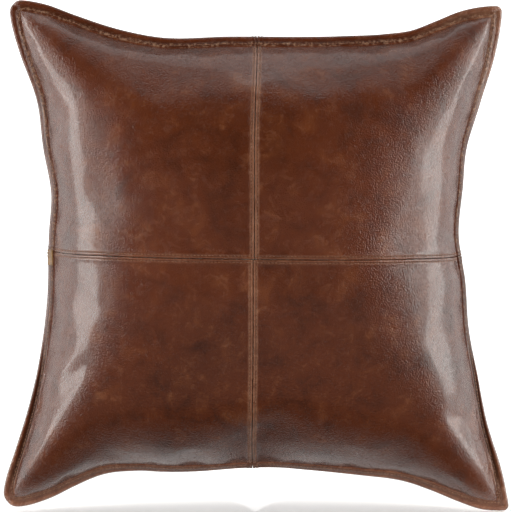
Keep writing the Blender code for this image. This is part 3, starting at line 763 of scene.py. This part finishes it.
def make_leather(name):
    """Waxed pull-up leather: mottled red-brown, scuffed paler, with a fine pebbled grain, and painted
    highlights on seams, painted light low on the flange and painted shade along the fold.
    """
    s = Shader(name)
    mottle = s.noise(34.0, 5.0, 0.62, warp=0.6)
    scuffs = s.noise(95.0, 6.0, 0.68, warp=0.9)
    speck = s.noise(420.0, 3.0, 0.7)
    gathers = s.noise(330.0, 3.0, 0.6)
    streaks = s.node("ShaderNodeMapping", {"Vector": s.place, "Scale": (9.0, 1.0, 0.7)})
    hairs = s.noise(60.0, 3.0, 0.7, streaks.outputs["Vector"])
    wear, pucker, crease = (s.painted(paint) for paint in ("wear", "pucker", "crease"))

    base = s.ramp(s.noise(7.0, 3.0, 0.5),
                  (0.30, srgb(60, 24, 7)), (0.52, srgb(80, 34, 11)), (0.72, srgb(92, 42, 16)))
    patchy = s.ramp(mottle, (0.32, srgb(52, 20, 6)), (0.52, srgb(80, 34, 11)), (0.74, srgb(108, 57, 27)))
    scuffed = s.times(s.rise(scuffs, 0.50, 0.72), s.rise(mottle, 0.42, 0.66))
    # paler paint for wear, which also carries painted highlights on the seams' welts and painted light on
    # the low flange
    worn_and_lit = s.times(wear, s.ramp(scuffs, (0.30, (0.35, 0.35, 0.35, 1.0)), (0.62, (1.0, 1.0, 1.0, 1.0))))
    gathered = s.times(pucker, s.rise(gathers, 0.48, 0.62))
    colour = s.mixed(0.55, base, patchy)
    for share, strength, tint in (
            (scuffed, 0.34, srgb(132, 84, 50)),
            (s.rise(hairs, 0.60, 0.74), 0.22, srgb(124, 78, 44)),
            (s.rise(speck, 0.50, 0.78), 0.28, srgb(116, 66, 34)),
            (worn_and_lit, 0.80, srgb(162, 116, 90)),
            # painted shade: the hollow along the fold is painted near black-brown
            (crease, 0.85, srgb(38, 16, 8)),
            (gathered, 0.75, srgb(160, 124, 98))):
        colour = s.mixed(s.times(share, strength), colour, tint)

    grain = s.plus(s.times(s.cells(650.0), -1.0), s.times(speck, 0.7))
    grain = s.plus(grain, s.times(s.noise(250.0, 4.0, 0.6, warp=0.5), 0.15))
    grain = s.plus(grain, s.times(s.noise(900.0, 3.0, 0.65), 0.6))
    bumped = s.bump(grain, 0.9, 0.00060)
    bumped = s.bump(s.noise(90.0, 3.0, 0.6), 0.20, 0.0010, Normal=bumped)
    bumped = s.bump(s.times(pucker, gathers), 0.8, 0.0022, Normal=bumped)
    rough = s.plus(s.times(s.rise(scuffs, 0.35, 0.75), 0.12), 0.21)
    # in the painted shade along the fold the leather is also rougher and less shiny
    rough = s.plus(rough, s.times(crease, 0.25))
    shine = s.math("SUBTRACT", 0.5, s.times(crease, 0.40))
    coat = s.math("SUBTRACT", 0.26, s.times(crease, 0.24))
    return s.finish(Base_Color=colour, Roughness=rough, Normal=bumped,
                    Specular_IOR_Level=shine, Coat_Weight=coat, Coat_Roughness=0.13)


def make_patch_leather(name):
    """Tan leather, blotched, and rubbed paler along its rim."""
    s = Shader(name)
    blotch = s.noise(240.0, 4.0, 0.6)
    colour = s.mixed(s.rise(blotch, 0.35, 0.7), srgb(92, 64, 34), srgb(128, 94, 52))
    colour = s.mixed(s.times(s.painted("wear"), 0.5), colour, srgb(150, 116, 70))
    bumped = s.bump(s.rise(s.cells(900.0, "DISTANCE_TO_EDGE"), 0.0, 0.3), 0.3, 0.0003)
    return s.finish(Base_Color=colour, Roughness=s.plus(s.times(blotch, 0.15), 0.38), Normal=bumped)


def make_thread(name, dark, pale):
    """Waxed two-ply thread."""
    s = Shader(name)
    tone = s.noise(180.0, 2.0)
    return s.finish(Base_Color=s.mixed(s.rise(tone, 0.3, 0.7), dark, pale),
                    Roughness=s.plus(s.times(tone, 0.2), 0.45),
                    Normal=s.bump(s.ribs(420.0, "DIAGONAL", 1.5), 0.5, 0.0003), Sheen_Weight=0.2)


def make_woven(name, dark, pale, threads_per_metre):
    """Plain weave: two crossed sets of ribs."""
    s = Shader(name)
    scale = threads_per_metre / 20 * math.pi
    weave = s.times(s.ribs(scale, "X", 0.4), s.ribs(scale, "Z", 0.4))
    colour = s.mixed(s.mixed(0.5, weave, s.noise(90.0, 3.0)), dark, pale)
    return s.finish(Base_Color=colour, Roughness=s.plus(s.times(weave, 0.12), 0.8),
                    Normal=s.bump(weave, 0.5, 0.0003), Sheen_Weight=0.3)


def make_brass(name):
    """Antiqued brass, dark in its hollows and rubbed bright on its edges."""
    s = Shader(name)
    stain = s.noise(420.0, 5.0, 0.65)
    edge = s.node("ShaderNodeNewGeometry", {}).outputs["Pointiness"]
    colour = s.mixed(s.rise(stain, 0.35, 0.7), srgb(86, 62, 34), srgb(132, 100, 58))
    colour = s.mixed(s.rise(edge, 0.49, 0.56), colour, srgb(190, 152, 92))
    return s.finish(Base_Color=colour, Roughness=s.plus(s.times(stain, 0.25), 0.22),
                    Normal=s.bump(s.noise(900.0, 3.0), 0.15, 0.0002), Metallic=1.0)


def make_coil_plastic(name):
    """Dull brown nylon of the zipper's coil."""
    s = Shader(name)
    tone = s.noise(300.0, 3.0)
    return s.finish(Base_Color=s.mixed(s.rise(tone, 0.3, 0.7), srgb(46, 30, 22), srgb(66, 45, 33)),
                    Roughness=s.plus(s.times(tone, 0.2), 0.30),
                    Normal=s.bump(s.noise(1400.0, 2.0), 0.2, 0.0001))


def make_down(name):
    """Feather and down packed in its ticking."""
    s = Shader(name)
    tuft = s.cells(90.0, "SMOOTH_F1")
    fluff = s.noise(700.0, 6.0, 0.7, warp=1.0)
    return s.finish(Base_Color=s.mixed(s.rise(tuft, 0.1, 0.8), srgb(232, 228, 218), srgb(204, 198, 184)),
                    Roughness=s.plus(s.times(fluff, 0.1), 0.85), Sheen_Weight=0.5,
                    Normal=s.bump(s.plus(tuft, s.times(fluff, 0.6)), 0.8, 0.002))


LEATHER_LOOK = make_leather("pull_up_leather")
BACK_LOOK = make_leather("back_leather")
PATCH_LOOK = make_patch_leather("tan_patch_leather")
THREAD_LOOK = make_thread("waxed_thread", srgb(98, 62, 42), srgb(140, 100, 74))
TAPE_LOOK = make_woven("zipper_tape_weave", srgb(40, 26, 19), srgb(66, 45, 33), 1900)
TICKING_LOOK = make_woven("ticking_weave", srgb(214, 208, 196), srgb(240, 236, 226), 2600)
TICKING_THREAD_LOOK = make_thread("ticking_thread", srgb(196, 190, 178), srgb(226, 220, 208))
BRASS_LOOK = make_brass("antique_brass_finish")
COIL_LOOK = make_coil_plastic("coil_nylon")
DOWN_LOOK = make_down("down_tufts")

# ---------- front panels

def seam_x(z):
    return np.where(z > cross_seam_z(0.0), upper_seam_x(z), lower_seam_x(z))


def beside_seam(seam, side):
    """A function for the line at inset from a seam, on its lower (-1) or higher (1) side."""
    return lambda position, inset: seam(position) + side * (SEAM_GAP / 2 + inset)


seam_on_right, seam_on_left = beside_seam(seam_x, -1), beside_seam(seam_x, 1)
seam_above, seam_below = beside_seam(cross_seam_z, -1), beside_seam(cross_seam_z, 1)


class Face(NamedTuple):
    """A grid of surface points with their normals and paint, and the lines that made it."""

    points: np.ndarray
    normals: np.ndarray
    wear: np.ndarray
    pucker: np.ndarray
    crease: np.ndarray
    columns: Lines
    rows: Lines


def front_face(columns, rows, edges, corners):
    place = settle(columns, rows, edges, corners)
    u, v = unit_place(place.x, place.z)
    inside = place.border >= FLANGE
    depth = dome(u, v) * inside
    bare = np.stack([place.x, -FLANGE_HALF - depth + place.back, place.z], -1)
    bare += inside[..., None] * filled_move(0, u, v)
    bare += (place.normal + [0, 1, 0]) * FLANGE_HALF * ~inside[..., None]
    normals = normals_of(bare)
    to_upright = np.abs(place.x - seam_x(place.z)) - SEAM_GAP / 2
    to_cross = np.abs(place.z - cross_seam_z(place.x)) - SEAM_GAP / 2
    relief = seam_relief(to_upright, place.x, place.z) + seam_relief(to_cross, place.x, place.z)
    relief += flange_relief(place.border, place.x, place.z)
    relief += inside * surface_relief(place.x, place.z, u, v)
    points = bare + relief[..., None] * normals
    # paler paint: seam wear with painted highlights on the welts, and the flange's wear with painted light
    # low down
    wear = np.maximum(seam_wear_and_highlight(to_upright), 0.4 * seam_wear_and_highlight(to_cross))
    wear = np.maximum(wear * inside, flange_wear_and_light(place))
    return Face(points, normals, wear, pucker_of(place), painted_groove_shade_of(place), columns, rows)


HALF_WIDTH, HALF_HEIGHT = 0.245, 0.250
TO_SEAM_X = grid_lines(OUTLINE_INSETS, SEAM_INSETS, HALF_WIDTH, GRID_STEP)
FROM_SEAM_X = grid_lines(SEAM_INSETS, OUTLINE_INSETS, HALF_WIDTH, GRID_STEP)
TO_SEAM_Z = grid_lines(OUTLINE_INSETS, SEAM_INSETS, HALF_HEIGHT, GRID_STEP)
FROM_SEAM_Z = grid_lines(SEAM_INSETS, OUTLINE_INSETS, HALF_HEIGHT, GRID_STEP)
COLUMNS = {"left": (TO_SEAM_X, left_edge, seam_on_right), "right": (FROM_SEAM_X, seam_on_left, right_edge)}
ROWS = {"top": (FROM_SEAM_Z, seam_below, top_edge), "bottom": (TO_SEAM_Z, bottom_edge, seam_above)}


def add_panel(name, node, face, look, flip=False):
    panel = add_sheet(name, face.points, look, LEATHER, flip,
                      wear=face.wear, pucker=face.pucker, crease=face.crease)
    stands_for(panel, node)


fronts = {}
for level, (rows, *low_high) in ROWS.items():
    for side, (columns, *left_right) in COLUMNS.items():
        quarter = f"{level}_{side}"
        fronts[quarter] = front_face(columns, rows, Edges(*left_right, *low_high), [quarter])
        add_panel(f"leather_front_{quarter}", f"front_panel_{quarter}", fronts[quarter],
                  LEATHER_LOOK)

# ---------- back panels

def beyond_zipper(x, inset):
    """Height over the zipper of a line of the leather beside it."""
    edge = mix(half_opening(x), ZIPPER_OPENING / 2, np.clip(inset / ZIPPER_STRIP, 0, 1))
    return (edge + inset) * math.cos(TRACK_LEAN)


def zipper_under(x, inset):
    """The edge of the panel above the zipper, which lies under that panel."""
    return ZIPPER_Z + beyond_zipper(x, inset)


def zipper_over(x, inset):
    """The edge of the panel below the zipper."""
    return ZIPPER_Z - beyond_zipper(x, inset)


ZIPPER_INSETS = np.array([
    0.0, 0.00008, 0.0003, 0.0006, 0.0010, 0.0015, 0.0020, 0.0024, 0.0028, 0.0032, 0.0037, 0.0043,
    0.0052, 0.0064, 0.0080, 0.0100,
])


def zipper_relief(distance):
    """Height of the back's leather near the zipper: rolled edge, stitch valley, soft ridge."""
    ridge = 0.00022 * hump(distance, 0.0015, 0.0008) + 0.00016 * hump(distance, 0.0046, 0.0010)
    return rolled(distance, ZIPPER_LIP) + ridge - 0.00035 * hump(distance, ZIPPER_STITCH, 0.0006)


def flattened(depth):
    """Depth of the back, flattened at its crown with a soft edge."""
    near = np.maximum(CROWN_BLEND - np.abs(depth - CROWN), 0) / CROWN_BLEND
    return np.minimum(depth, CROWN) - near ** 2 * CROWN_BLEND / 4


def back_face(columns, rows, edges, corners):
    place = settle(columns, rows, edges, corners)
    u, v = unit_place(place.x, place.z)
    inside = place.border >= FLANGE
    strip = strip_share(place.x, place.z)
    depth = inside * mix(flattened(BACK_SWELL * dome(u, v)), on_track(place.x, place.z), strip)
    bare = np.stack([place.x, FLANGE_HALF + depth + place.back, place.z], -1)
    free = inside * (1 - ease(2 * strip)) * (1 - ease((depth - STILL_DEPTH) / STILL_FADE))
    bare += free[..., None] * filled_move(1, u, v)
    bare -= (place.normal + [0, 1, 0]) * FLANGE_HALF * ~inside[..., None]
    normals = -normals_of(bare)
    to_zipper = np.abs(place.z - ZIPPER_Z) / math.cos(TRACK_LEAN) - half_opening(place.x)
    relief = zipper_relief(np.maximum(to_zipper, 0)) + flange_relief(place.border, place.x, place.z)
    relief += free * surface_relief(-place.x, place.z, u, v)
    points = bare + relief[..., None] * normals
    # paler paint: wear beside the zipper and on the flange, with painted light on the flange's lowest part
    wear = np.maximum(0.6 * hump(to_zipper, 0.0005, 0.0010), flange_wear_and_light(place))
    return Face(points, normals, wear, pucker_of(place), painted_groove_shade_of(place), columns, rows)


def back_columns():
    """Columns of the back: close together at the zipper's two ends, where its opening tapers."""
    left, right = left_edge(ZIPPER_Z, FLANGE), right_edge(ZIPPER_Z, FLANGE)
    first, last = left + OUTLINE_INSETS[-1] - FLANGE, right - OUTLINE_INSETS[-1] + FLANGE
    taper = ZIPPER_HALF + OPENING_TAPER / 2
    even = np.linspace(first, last, int((last - first) / BACK_STEP))
    near = np.abs(np.abs(even) - taper) < OPENING_TAPER
    close = np.arange(-OPENING_TAPER, OPENING_TAPER, TAPER_STEP)
    places = np.sort(np.concatenate([even[~near], taper + close, -taper - close]))[1:-1]
    return lines_between(OUTLINE_INSETS, (places - first) / (last - first), OUTLINE_INSETS)


BACK_ROWS = {"upper": (grid_lines(ZIPPER_INSETS, OUTLINE_INSETS, 0.34, BACK_STEP), zipper_under, top_edge),
             "lower": (grid_lines(OUTLINE_INSETS, ZIPPER_INSETS, 0.10, BACK_STEP), bottom_edge, zipper_over)}
BACK_CORNERS = {"upper": ["top_left", "top_right"], "lower": ["bottom_left", "bottom_right"]}

backs = {}
for level, (rows, *low_high) in BACK_ROWS.items():
    edges = Edges(left_edge, right_edge, *low_high)
    backs[level] = back_face(back_columns(), rows, edges, BACK_CORNERS[level])
    add_panel(f"leather_back_{level}", f"back_panel_{level}", backs[level],
              BACK_LOOK, flip=True)

# ---------- stitches

def line_at(lines, inset, end):
    """Index of the line at inset from the start or the end."""
    share = 1.0 if end else 0.0
    value = lines.end if end else lines.start
    return int(np.argmin(np.abs(value - inset) + 10 * (lines.share != share)))


def line_span(lines, start_inset, end_inset):
    """Slice of the lines from start_inset at their start to end_inset at their end."""
    low = 0 if start_inset is None else line_at(lines, start_inset, False)
    return slice(low, None if end_inset is None else line_at(lines, end_inset, True) + 1)


def column_path(face, inset, end, span=slice(None)):
    k = line_at(face.columns, inset, end)
    return face.points[k, span], face.normals[k, span]


def row_path(face, inset, end, span=slice(None)):
    k = line_at(face.rows, inset, end)
    return face.points[span, k], face.normals[span, k]


def seam_to_fold(lines, seam_at_end, from_seam):
    """Slice of the lines from the fold to from_seam beside the crossing."""
    ends = (FLANGE, from_seam) if seam_at_end else (from_seam, FLANGE)
    return line_span(lines, *ends)


def add_stitches(name, paths, node, look=THREAD_LOOK):
    parts = [part for points, normals in paths for part in stitch_parts(points, normals)]
    stands_for(add_object(name, joined_mesh(name, parts), look), node)


CROSSING_CLEAR = 0.0052               # the upright stitches end short of the horizontal seam's
for level, above in (("upper", "top"), ("lower", "bottom")):
    paths = []
    for side in ("left", "right"):
        face = fronts[f"{above}_{side}"]
        span = seam_to_fold(face.columns, side == "left", 0.0)
        paths.append(row_path(face, SEAM_STITCH, above == "bottom", span))
    add_stitches(f"stitches_cross_seam_{level}", paths, f"cross_seam_stitch_{level}")
for quarter, face in fronts.items():
    level, side = quarter.split("_")
    span = seam_to_fold(face.rows, level == "bottom", CROSSING_CLEAR)
    path = column_path(face, SEAM_STITCH, side == "left", span)
    add_stitches(f"stitches_{level}_seam_{side}", [path], f"{level}_seam_stitch_{side}")


def ring_paths(faces, splits):
    """The flange's stitch line, in pieces. splits says which end of each face's columns and of its
    rows is a seam: False for the start, True for the end, None for neither."""
    inset = FLANGE - FLANGE_STITCH
    paths = []
    for face, (column_seam, row_seam) in zip(faces, splits):
        along_rows, along_columns = (
            line_span(lines, None if seam is False else inset, None if seam is True else inset)
            for lines, seam in ((face.rows, row_seam), (face.columns, column_seam)))
        for end in (False, True):
            if column_seam != end:
                paths.append(column_path(face, inset, end, along_rows))
            if row_seam != end:
                paths.append(row_path(face, inset, end, along_columns))
    return paths


FRONT_SPLITS = [(True, False), (False, False), (True, True), (False, True)]
add_stitches("stitches_flange_front", ring_paths(fronts.values(), FRONT_SPLITS), "flange_stitch_front")
add_stitches("stitches_flange_back", ring_paths(backs.values(), [(None, False), (None, True)]),
             "flange_stitch_back")

for level, face in backs.items():
    inside = np.flatnonzero(np.abs(face.points[:, 0, 0]) < ZIPPER_HALF + OPENING_TAPER)
    path = row_path(face, ZIPPER_STITCH, level == "lower", slice(inside[0], inside[-1] + 1))
    add_stitches(f"stitches_zipper_{level}", [path], f"zipper_stitch_{level}")

# ---------- patch on the left flange

PATCH_LENGTH, PATCH_THICKNESS = 0.0168, 0.0008
PATCH_TOP = 0.2825
PATCH_INSETS = (0.0030, 0.0114)       # of its two sides, from the outline


def patch_low(x, inset):
    return PATCH_TOP - PATCH_LENGTH + inset + 0.0 * x


def patch_high(x, inset):
    return PATCH_TOP - inset + 0.0 * x


def add_patch():
    """The tan patch, a small leather sheet with a rounded rim that lies on the flange."""
    across = np.linspace(*PATCH_INSETS, 17)
    columns = Lines(0 * across, across, 0 * across)
    share = np.linspace(0, 1, 29)
    rows = Lines(np.clip(share, 1e-6, 1 - 1e-6), 0 * share, 0 * share)
    face = front_face(columns, rows, Edges(left_edge, right_edge, patch_low, patch_high), [])
    rim = np.minimum.outer(np.minimum(across - across[0], across[-1] - across), 0 * share + 1)
    rim = np.minimum(rim, np.minimum(share, 1 - share)[None, :] * PATCH_LENGTH)
    lift = PATCH_THICKNESS + 0.0001 + 0.0004 * (ease(rim / 0.0007) - 1)
    piece = add_sheet("seam_end_patch_leather", face.points + lift[..., None] * face.normals,
                      PATCH_LOOK, PATCH_THICKNESS, wear=1 - ease(rim / 0.001))
    stands_for(piece, "seam_end_patch")


add_patch()

# ---------- zipper

COIL_PITCH = 0.00125
COIL_WIRE = 0.00028
COIL_INNER, COIL_OUTER = 0.00085, 0.0033      # from the track's middle, over the wire
COIL_BASE, COIL_TOP = -0.0012, 0.0006         # from the track's surface, over the wire
LOOP_POINTS = 10
WIRE_SIDES = 5
WIRE_TURN = 0.0006                            # angle that the wire's radius takes on the track


def track_place(turn, across, out):
    """A point of the track, at a turn about its axis, across its middle and out from its face."""
    radius = TRACK_RADIUS + out * math.cos(TRACK_LEAN) + across * math.sin(TRACK_LEAN)
    height = ZIPPER_Z + across * math.cos(TRACK_LEAN) - out * math.sin(TRACK_LEAN)
    place = (radius * np.sin(turn), TRACK_AXIS_Y + radius * np.cos(turn), height)
    return np.stack(np.broadcast_arrays(*place), -1)


def add_coil(level, side):
    """A nylon coil: one wire wound along the tape's edge."""
    low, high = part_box(f"zipper_coil_{level}")
    first, last = (math.asin(x / TRACK_RADIUS) for x in (low.x, high.x))
    loops = int((last - first) * TRACK_RADIUS / COIL_PITCH)
    phase = np.arange(loops * LOOP_POINTS + 1) / LOOP_POINTS * 2 * math.pi
    turn = np.linspace(first + WIRE_TURN, last - WIRE_TURN, len(phase))
    reach = (COIL_OUTER - COIL_INNER) / 2 - COIL_WIRE
    across = side * ((COIL_OUTER + COIL_INNER) / 2 + reach * np.cos(phase + side * math.pi / 2))
    rise = (COIL_TOP - COIL_BASE) / 2 - COIL_WIRE
    out = (COIL_TOP + COIL_BASE) / 2 + rise * np.sin(phase + side * math.pi / 2)
    path = track_place(turn, across, out)
    centre = track_place(turn, side * (COIL_OUTER + COIL_INNER) / 2, (COIL_TOP + COIL_BASE) / 2)
    ahead = unit(np.gradient(path, axis=0))
    outward = unit(path - centre)
    outward = unit(outward - ahead * (outward * ahead).sum(-1, keepdims=True))
    wire = tube(path, np.cross(ahead, outward), outward, np.full(len(path), COIL_WIRE), WIRE_SIDES)
    name = f"coil_winding_{level}"
    piece = add_object(name, new_mesh(name, wire, tube_faces(len(path), WIRE_SIDES)), COIL_LOOK)
    stands_for(piece, f"zipper_coil_{level}")


def finish_node(name, look):
    """Gives a CAD node that is shown as it is its material."""
    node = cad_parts[name]
    for slot in node.material_slots:
        slot.material = look


add_coil("upper", 1)
add_coil("lower", -1)
for name in ("zipper_tape_upper", "zipper_tape_lower"):
    finish_node(name, TAPE_LOOK)
for name in ("zipper_slider", "zipper_pull_tab", "zipper_stop_closed_end", "zipper_stop_open_end"):
    finish_node(name, BRASS_LOOK)

# ---------- insert

INSERT_INSETS = np.array([0.0188, 0.0194, 0.0200, 0.0208, 0.0216, 0.0222, 0.0227, 0.0229, 0.0234, 0.0244])
INSERT_FOLD = 0.0227                  # one of the insets above, as is the stitch line
INSERT_STITCH = 0.0208
INSERT_SINK = 0.0090                  # cover's outer face to the insert's, over the crown
INSERT_HALF = 0.00075
TICKING = 0.0006
FILL_SINK = 0.0130
FILL_FOLD = 0.0260
INSERT_STEP = 0.006
LUMPS = Clouds(21, 0.045, 0.045)


def insert_face(side, lines, fold, sink, half):
    """One face of the insert: side 0 is the front, 1 the back."""
    columns, rows = lines
    place = settle(columns, rows, Edges(left_edge, right_edge, bottom_edge, top_edge), [])
    u, v = (np.clip(share, -1, 1) for share in unit_place(place.x, place.z, fold))
    depth = dome(u, v, CROWN - sink)
    if side == 1:
        track = on_track(place.x, place.z) - sink
        depth = mix(depth, np.minimum(depth, track), strip_share(place.x, place.z))
    depth = depth * (1 - 0.02 * (1 + LUMPS.at(place.x, place.z)))
    return np.stack([place.x, (2 * side - 1) * (half + depth), place.z], -1)


def insert_lines(insets):
    return (grid_lines(insets, insets, 0.45, INSERT_STEP), grid_lines(insets, insets, 0.47, INSERT_STEP))


for side, level in enumerate(("front", "back")):
    points = insert_face(side, insert_lines(INSERT_INSETS), INSERT_FOLD, INSERT_SINK, INSERT_HALF)
    half = add_sheet(f"ticking_{level}", points, TICKING_LOOK, TICKING, flip=side == 1)
    stands_for(half, f"insert_ticking_{level}")


def add_fill():
    """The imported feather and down: two faces sewn into one closed form."""
    lines = insert_lines(np.array([FILL_FOLD]))
    front, back = (insert_face(side, lines, FILL_FOLD, FILL_SINK, 0.0) for side in (0, 1))
    columns, rows = front.shape[:2]
    inner = (slice(1, -1), slice(1, -1))
    inner_back = back[inner].reshape(-1, 3)
    back_index = np.arange(columns * rows).reshape(columns, rows)
    back_index[inner] = (columns * rows + np.arange(len(inner_back))).reshape(columns - 2, rows - 2)
    faces = np.concatenate([grid_faces(columns, rows),
                            back_index.ravel()[grid_faces(columns, rows, True)]]).tolist()
    points = np.concatenate([front.reshape(-1, 3), inner_back])
    piece = add_object("feather_down_fill", new_mesh("feather_down_fill", points, faces), DOWN_LOOK)
    stands_for(piece, "insert_fill")


def add_closing_stitch():
    """The insert's stitches, along its lower edge."""
    low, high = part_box("insert_closing_stitch")
    x = np.linspace(low.x, high.x, 60)
    path = np.stack([x, 0 * x + low.y + 0.0003, bottom_edge(x, INSERT_STITCH)], -1)
    add_stitches("ticking_closing_stitches", [(path, np.tile([0.0, -1.0, 0.0], (60, 1)))],
                 "insert_closing_stitch", TICKING_THREAD_LOOK)


add_fill()
add_closing_stitch()

# ---------- stage, light and camera

FLOOR_DROP, STRIP_DROP = 0.0004, 0.0003       # the floor and its front strip, below the pillow
PAPER_STEPS = 49


def make_paper(name, far_glow, backdrop_gain):
    """Pale studio paper, lit from within away from the object so that it stays near white."""
    s = Shader(name)
    away = s.node("ShaderNodeVectorMath", {0: s.place}, operation="LENGTH").outputs["Value"]
    glow = s.mapped(away, 0.15, 0.75, 0.30, far_glow)
    parts = s.node("ShaderNodeSeparateXYZ", {"Vector": s.place})
    behind = s.math("DIVIDE", parts.outputs["Y"], away)
    gain = s.mapped(behind, 0.90, 0.97, 1.0, backdrop_gain)
    colour = s.mixed(s.noise(3.0, 2.0), srgb(238, 238, 237), srgb(246, 246, 245))
    return s.finish(Base_Color=colour, Roughness=0.9, Specular_IOR_Level=0.1,
                    Emission_Color=srgb(250, 250, 250), Emission_Strength=s.times(glow, gain))


def add_paper(name, profile, first, last, look):
    """Studio paper: a profile of (radius, z) points turned about Z between two angles."""
    turns = np.linspace(first, last, PAPER_STEPS)
    points = [(r * math.cos(t), r * math.sin(t), z - FLOOR_DROP) for r, z in profile for t in turns]
    faces = grid_faces(len(profile), len(turns)).tolist()
    paper = add_object(name, new_mesh(name, points, faces), look)
    return paper


def add_strip(name, half_length, width, look):
    """A strip of the studio's floor, just in front of the pillow."""
    points = [(x, y, -STRIP_DROP) for x in (-half_length, half_length) for y in (-width, 0.0)]
    add_object(name, new_mesh(name, points, grid_faces(2, 2).tolist()), look)


def add_stage():
    """A pale round studio. Only its sides are mirrored in the waxed leather, and a strip of the
    floor in front of the pillow, as if the room before and behind it were dim."""
    flat, foot, height = 5.0, 2.0, 8.0
    look = make_paper("pale_paper", 0.50, 1.9)
    front_look = make_paper("pale_front_paper", 0.85, 1.0)
    wall = [(flat + foot * math.sin(a), foot - foot * math.cos(a))
            for a in np.linspace(0, math.pi / 2, 13)[1:]] + [(flat + foot, height)]
    profile = [(r, 0.0) for r in (0.002, 0.1, 0.5, 1.0, 2.5, flat)] + wall
    add_strip("studio_floor_near", 0.32, 0.03, look)
    side = math.radians(62)
    add_paper("studio_right", profile, 0, side, look)
    backdrop = add_paper("studio_backdrop", profile, side, math.pi - side, look)
    backdrop.visible_glossy = False
    add_paper("studio_left", profile, math.pi - side, math.pi, look)
    front = add_paper("studio_front", profile, math.pi, 2 * math.pi, front_look)
    front.visible_glossy = False
    front.visible_diffuse = False


def add_area_light(name, place, target, size, power, glossy=True, colour=(1.0, 1.0, 1.0)):
    """A soft lamp that the camera doesn't see."""
    data = bpy.data.lights.new(name, "AREA")
    data.shape = "RECTANGLE"
    data.size, data.size_y = size
    data.energy = power
    data.color = colour
    lamp = add_object(name, data)
    lamp.location = place
    lamp.rotation_euler = (Vector(target) - Vector(place)).to_track_quat("-Z", "Y").to_euler()
    lamp.visible_glossy = glossy
    lamp.visible_camera = False


WARM = (1.0, 0.985, 0.95)


def add_lights():
    add_area_light("left_softbox", (-1.37, 0.06, 0.63), (0, 0, 0.25), (0.32, 1.22), 14, colour=WARM)
    add_area_light("left_wing", (-1.38, -0.18, 0.63), (0, 0, 0.25), (0.22, 1.0), 0.8, colour=WARM)
    add_area_light("right_softbox", (1.36, 0.11, 0.61), (0, 0, 0.30), (0.34, 1.2), 12.5, colour=WARM)
    add_area_light("right_wing", (1.38, -0.22, 0.61), (0, 0, 0.30), (0.40, 1.2), 3.6, colour=WARM)
    add_area_light("top_softbox", (0.0, 0.45, 1.5), (0, 0, 0.3), (2.2, 0.5), 5.6)
    add_area_light("floor_bounce", (0.0, -0.48, 0.02), (0, -0.30, 0.3), (1.4, 0.5), 0.5)
    add_area_light("front_fill", (-0.2, -3.0, 0.68), (0, 0, 0.25), (3.2, 1.2), 108, glossy=False)
    world = bpy.data.worlds.new("studio")
    bpy.context.scene.world = world
    world.use_nodes = True
    background = world.node_tree.nodes["Background"]
    background.inputs["Color"].default_value = (1.0, 1.0, 1.0, 1.0)
    background.inputs["Strength"].default_value = 0.05


def add_camera():
    """A long lens, nearly level, that shows view_width metres at the pillow."""
    view_width, elevation = 0.5467, math.radians(3.0)
    data = bpy.data.cameras.new("camera")
    data.lens = 110.0
    data.sensor_width = 36.0
    distance = view_width * data.lens / data.sensor_width
    camera = add_object("camera", data)
    target = Vector((0.0, 0.0, 0.2757))
    camera.location = target + distance * Vector((0, -math.cos(elevation), math.sin(elevation)))
    camera.rotation_euler = (target - camera.location).to_track_quat("-Z", "Y").to_euler()
    bpy.context.scene.camera = camera


add_stage()
add_lights()
add_camera()
bpy.context.scene.view_settings.view_transform = "Standard"

bpy.context.view_layer.update()
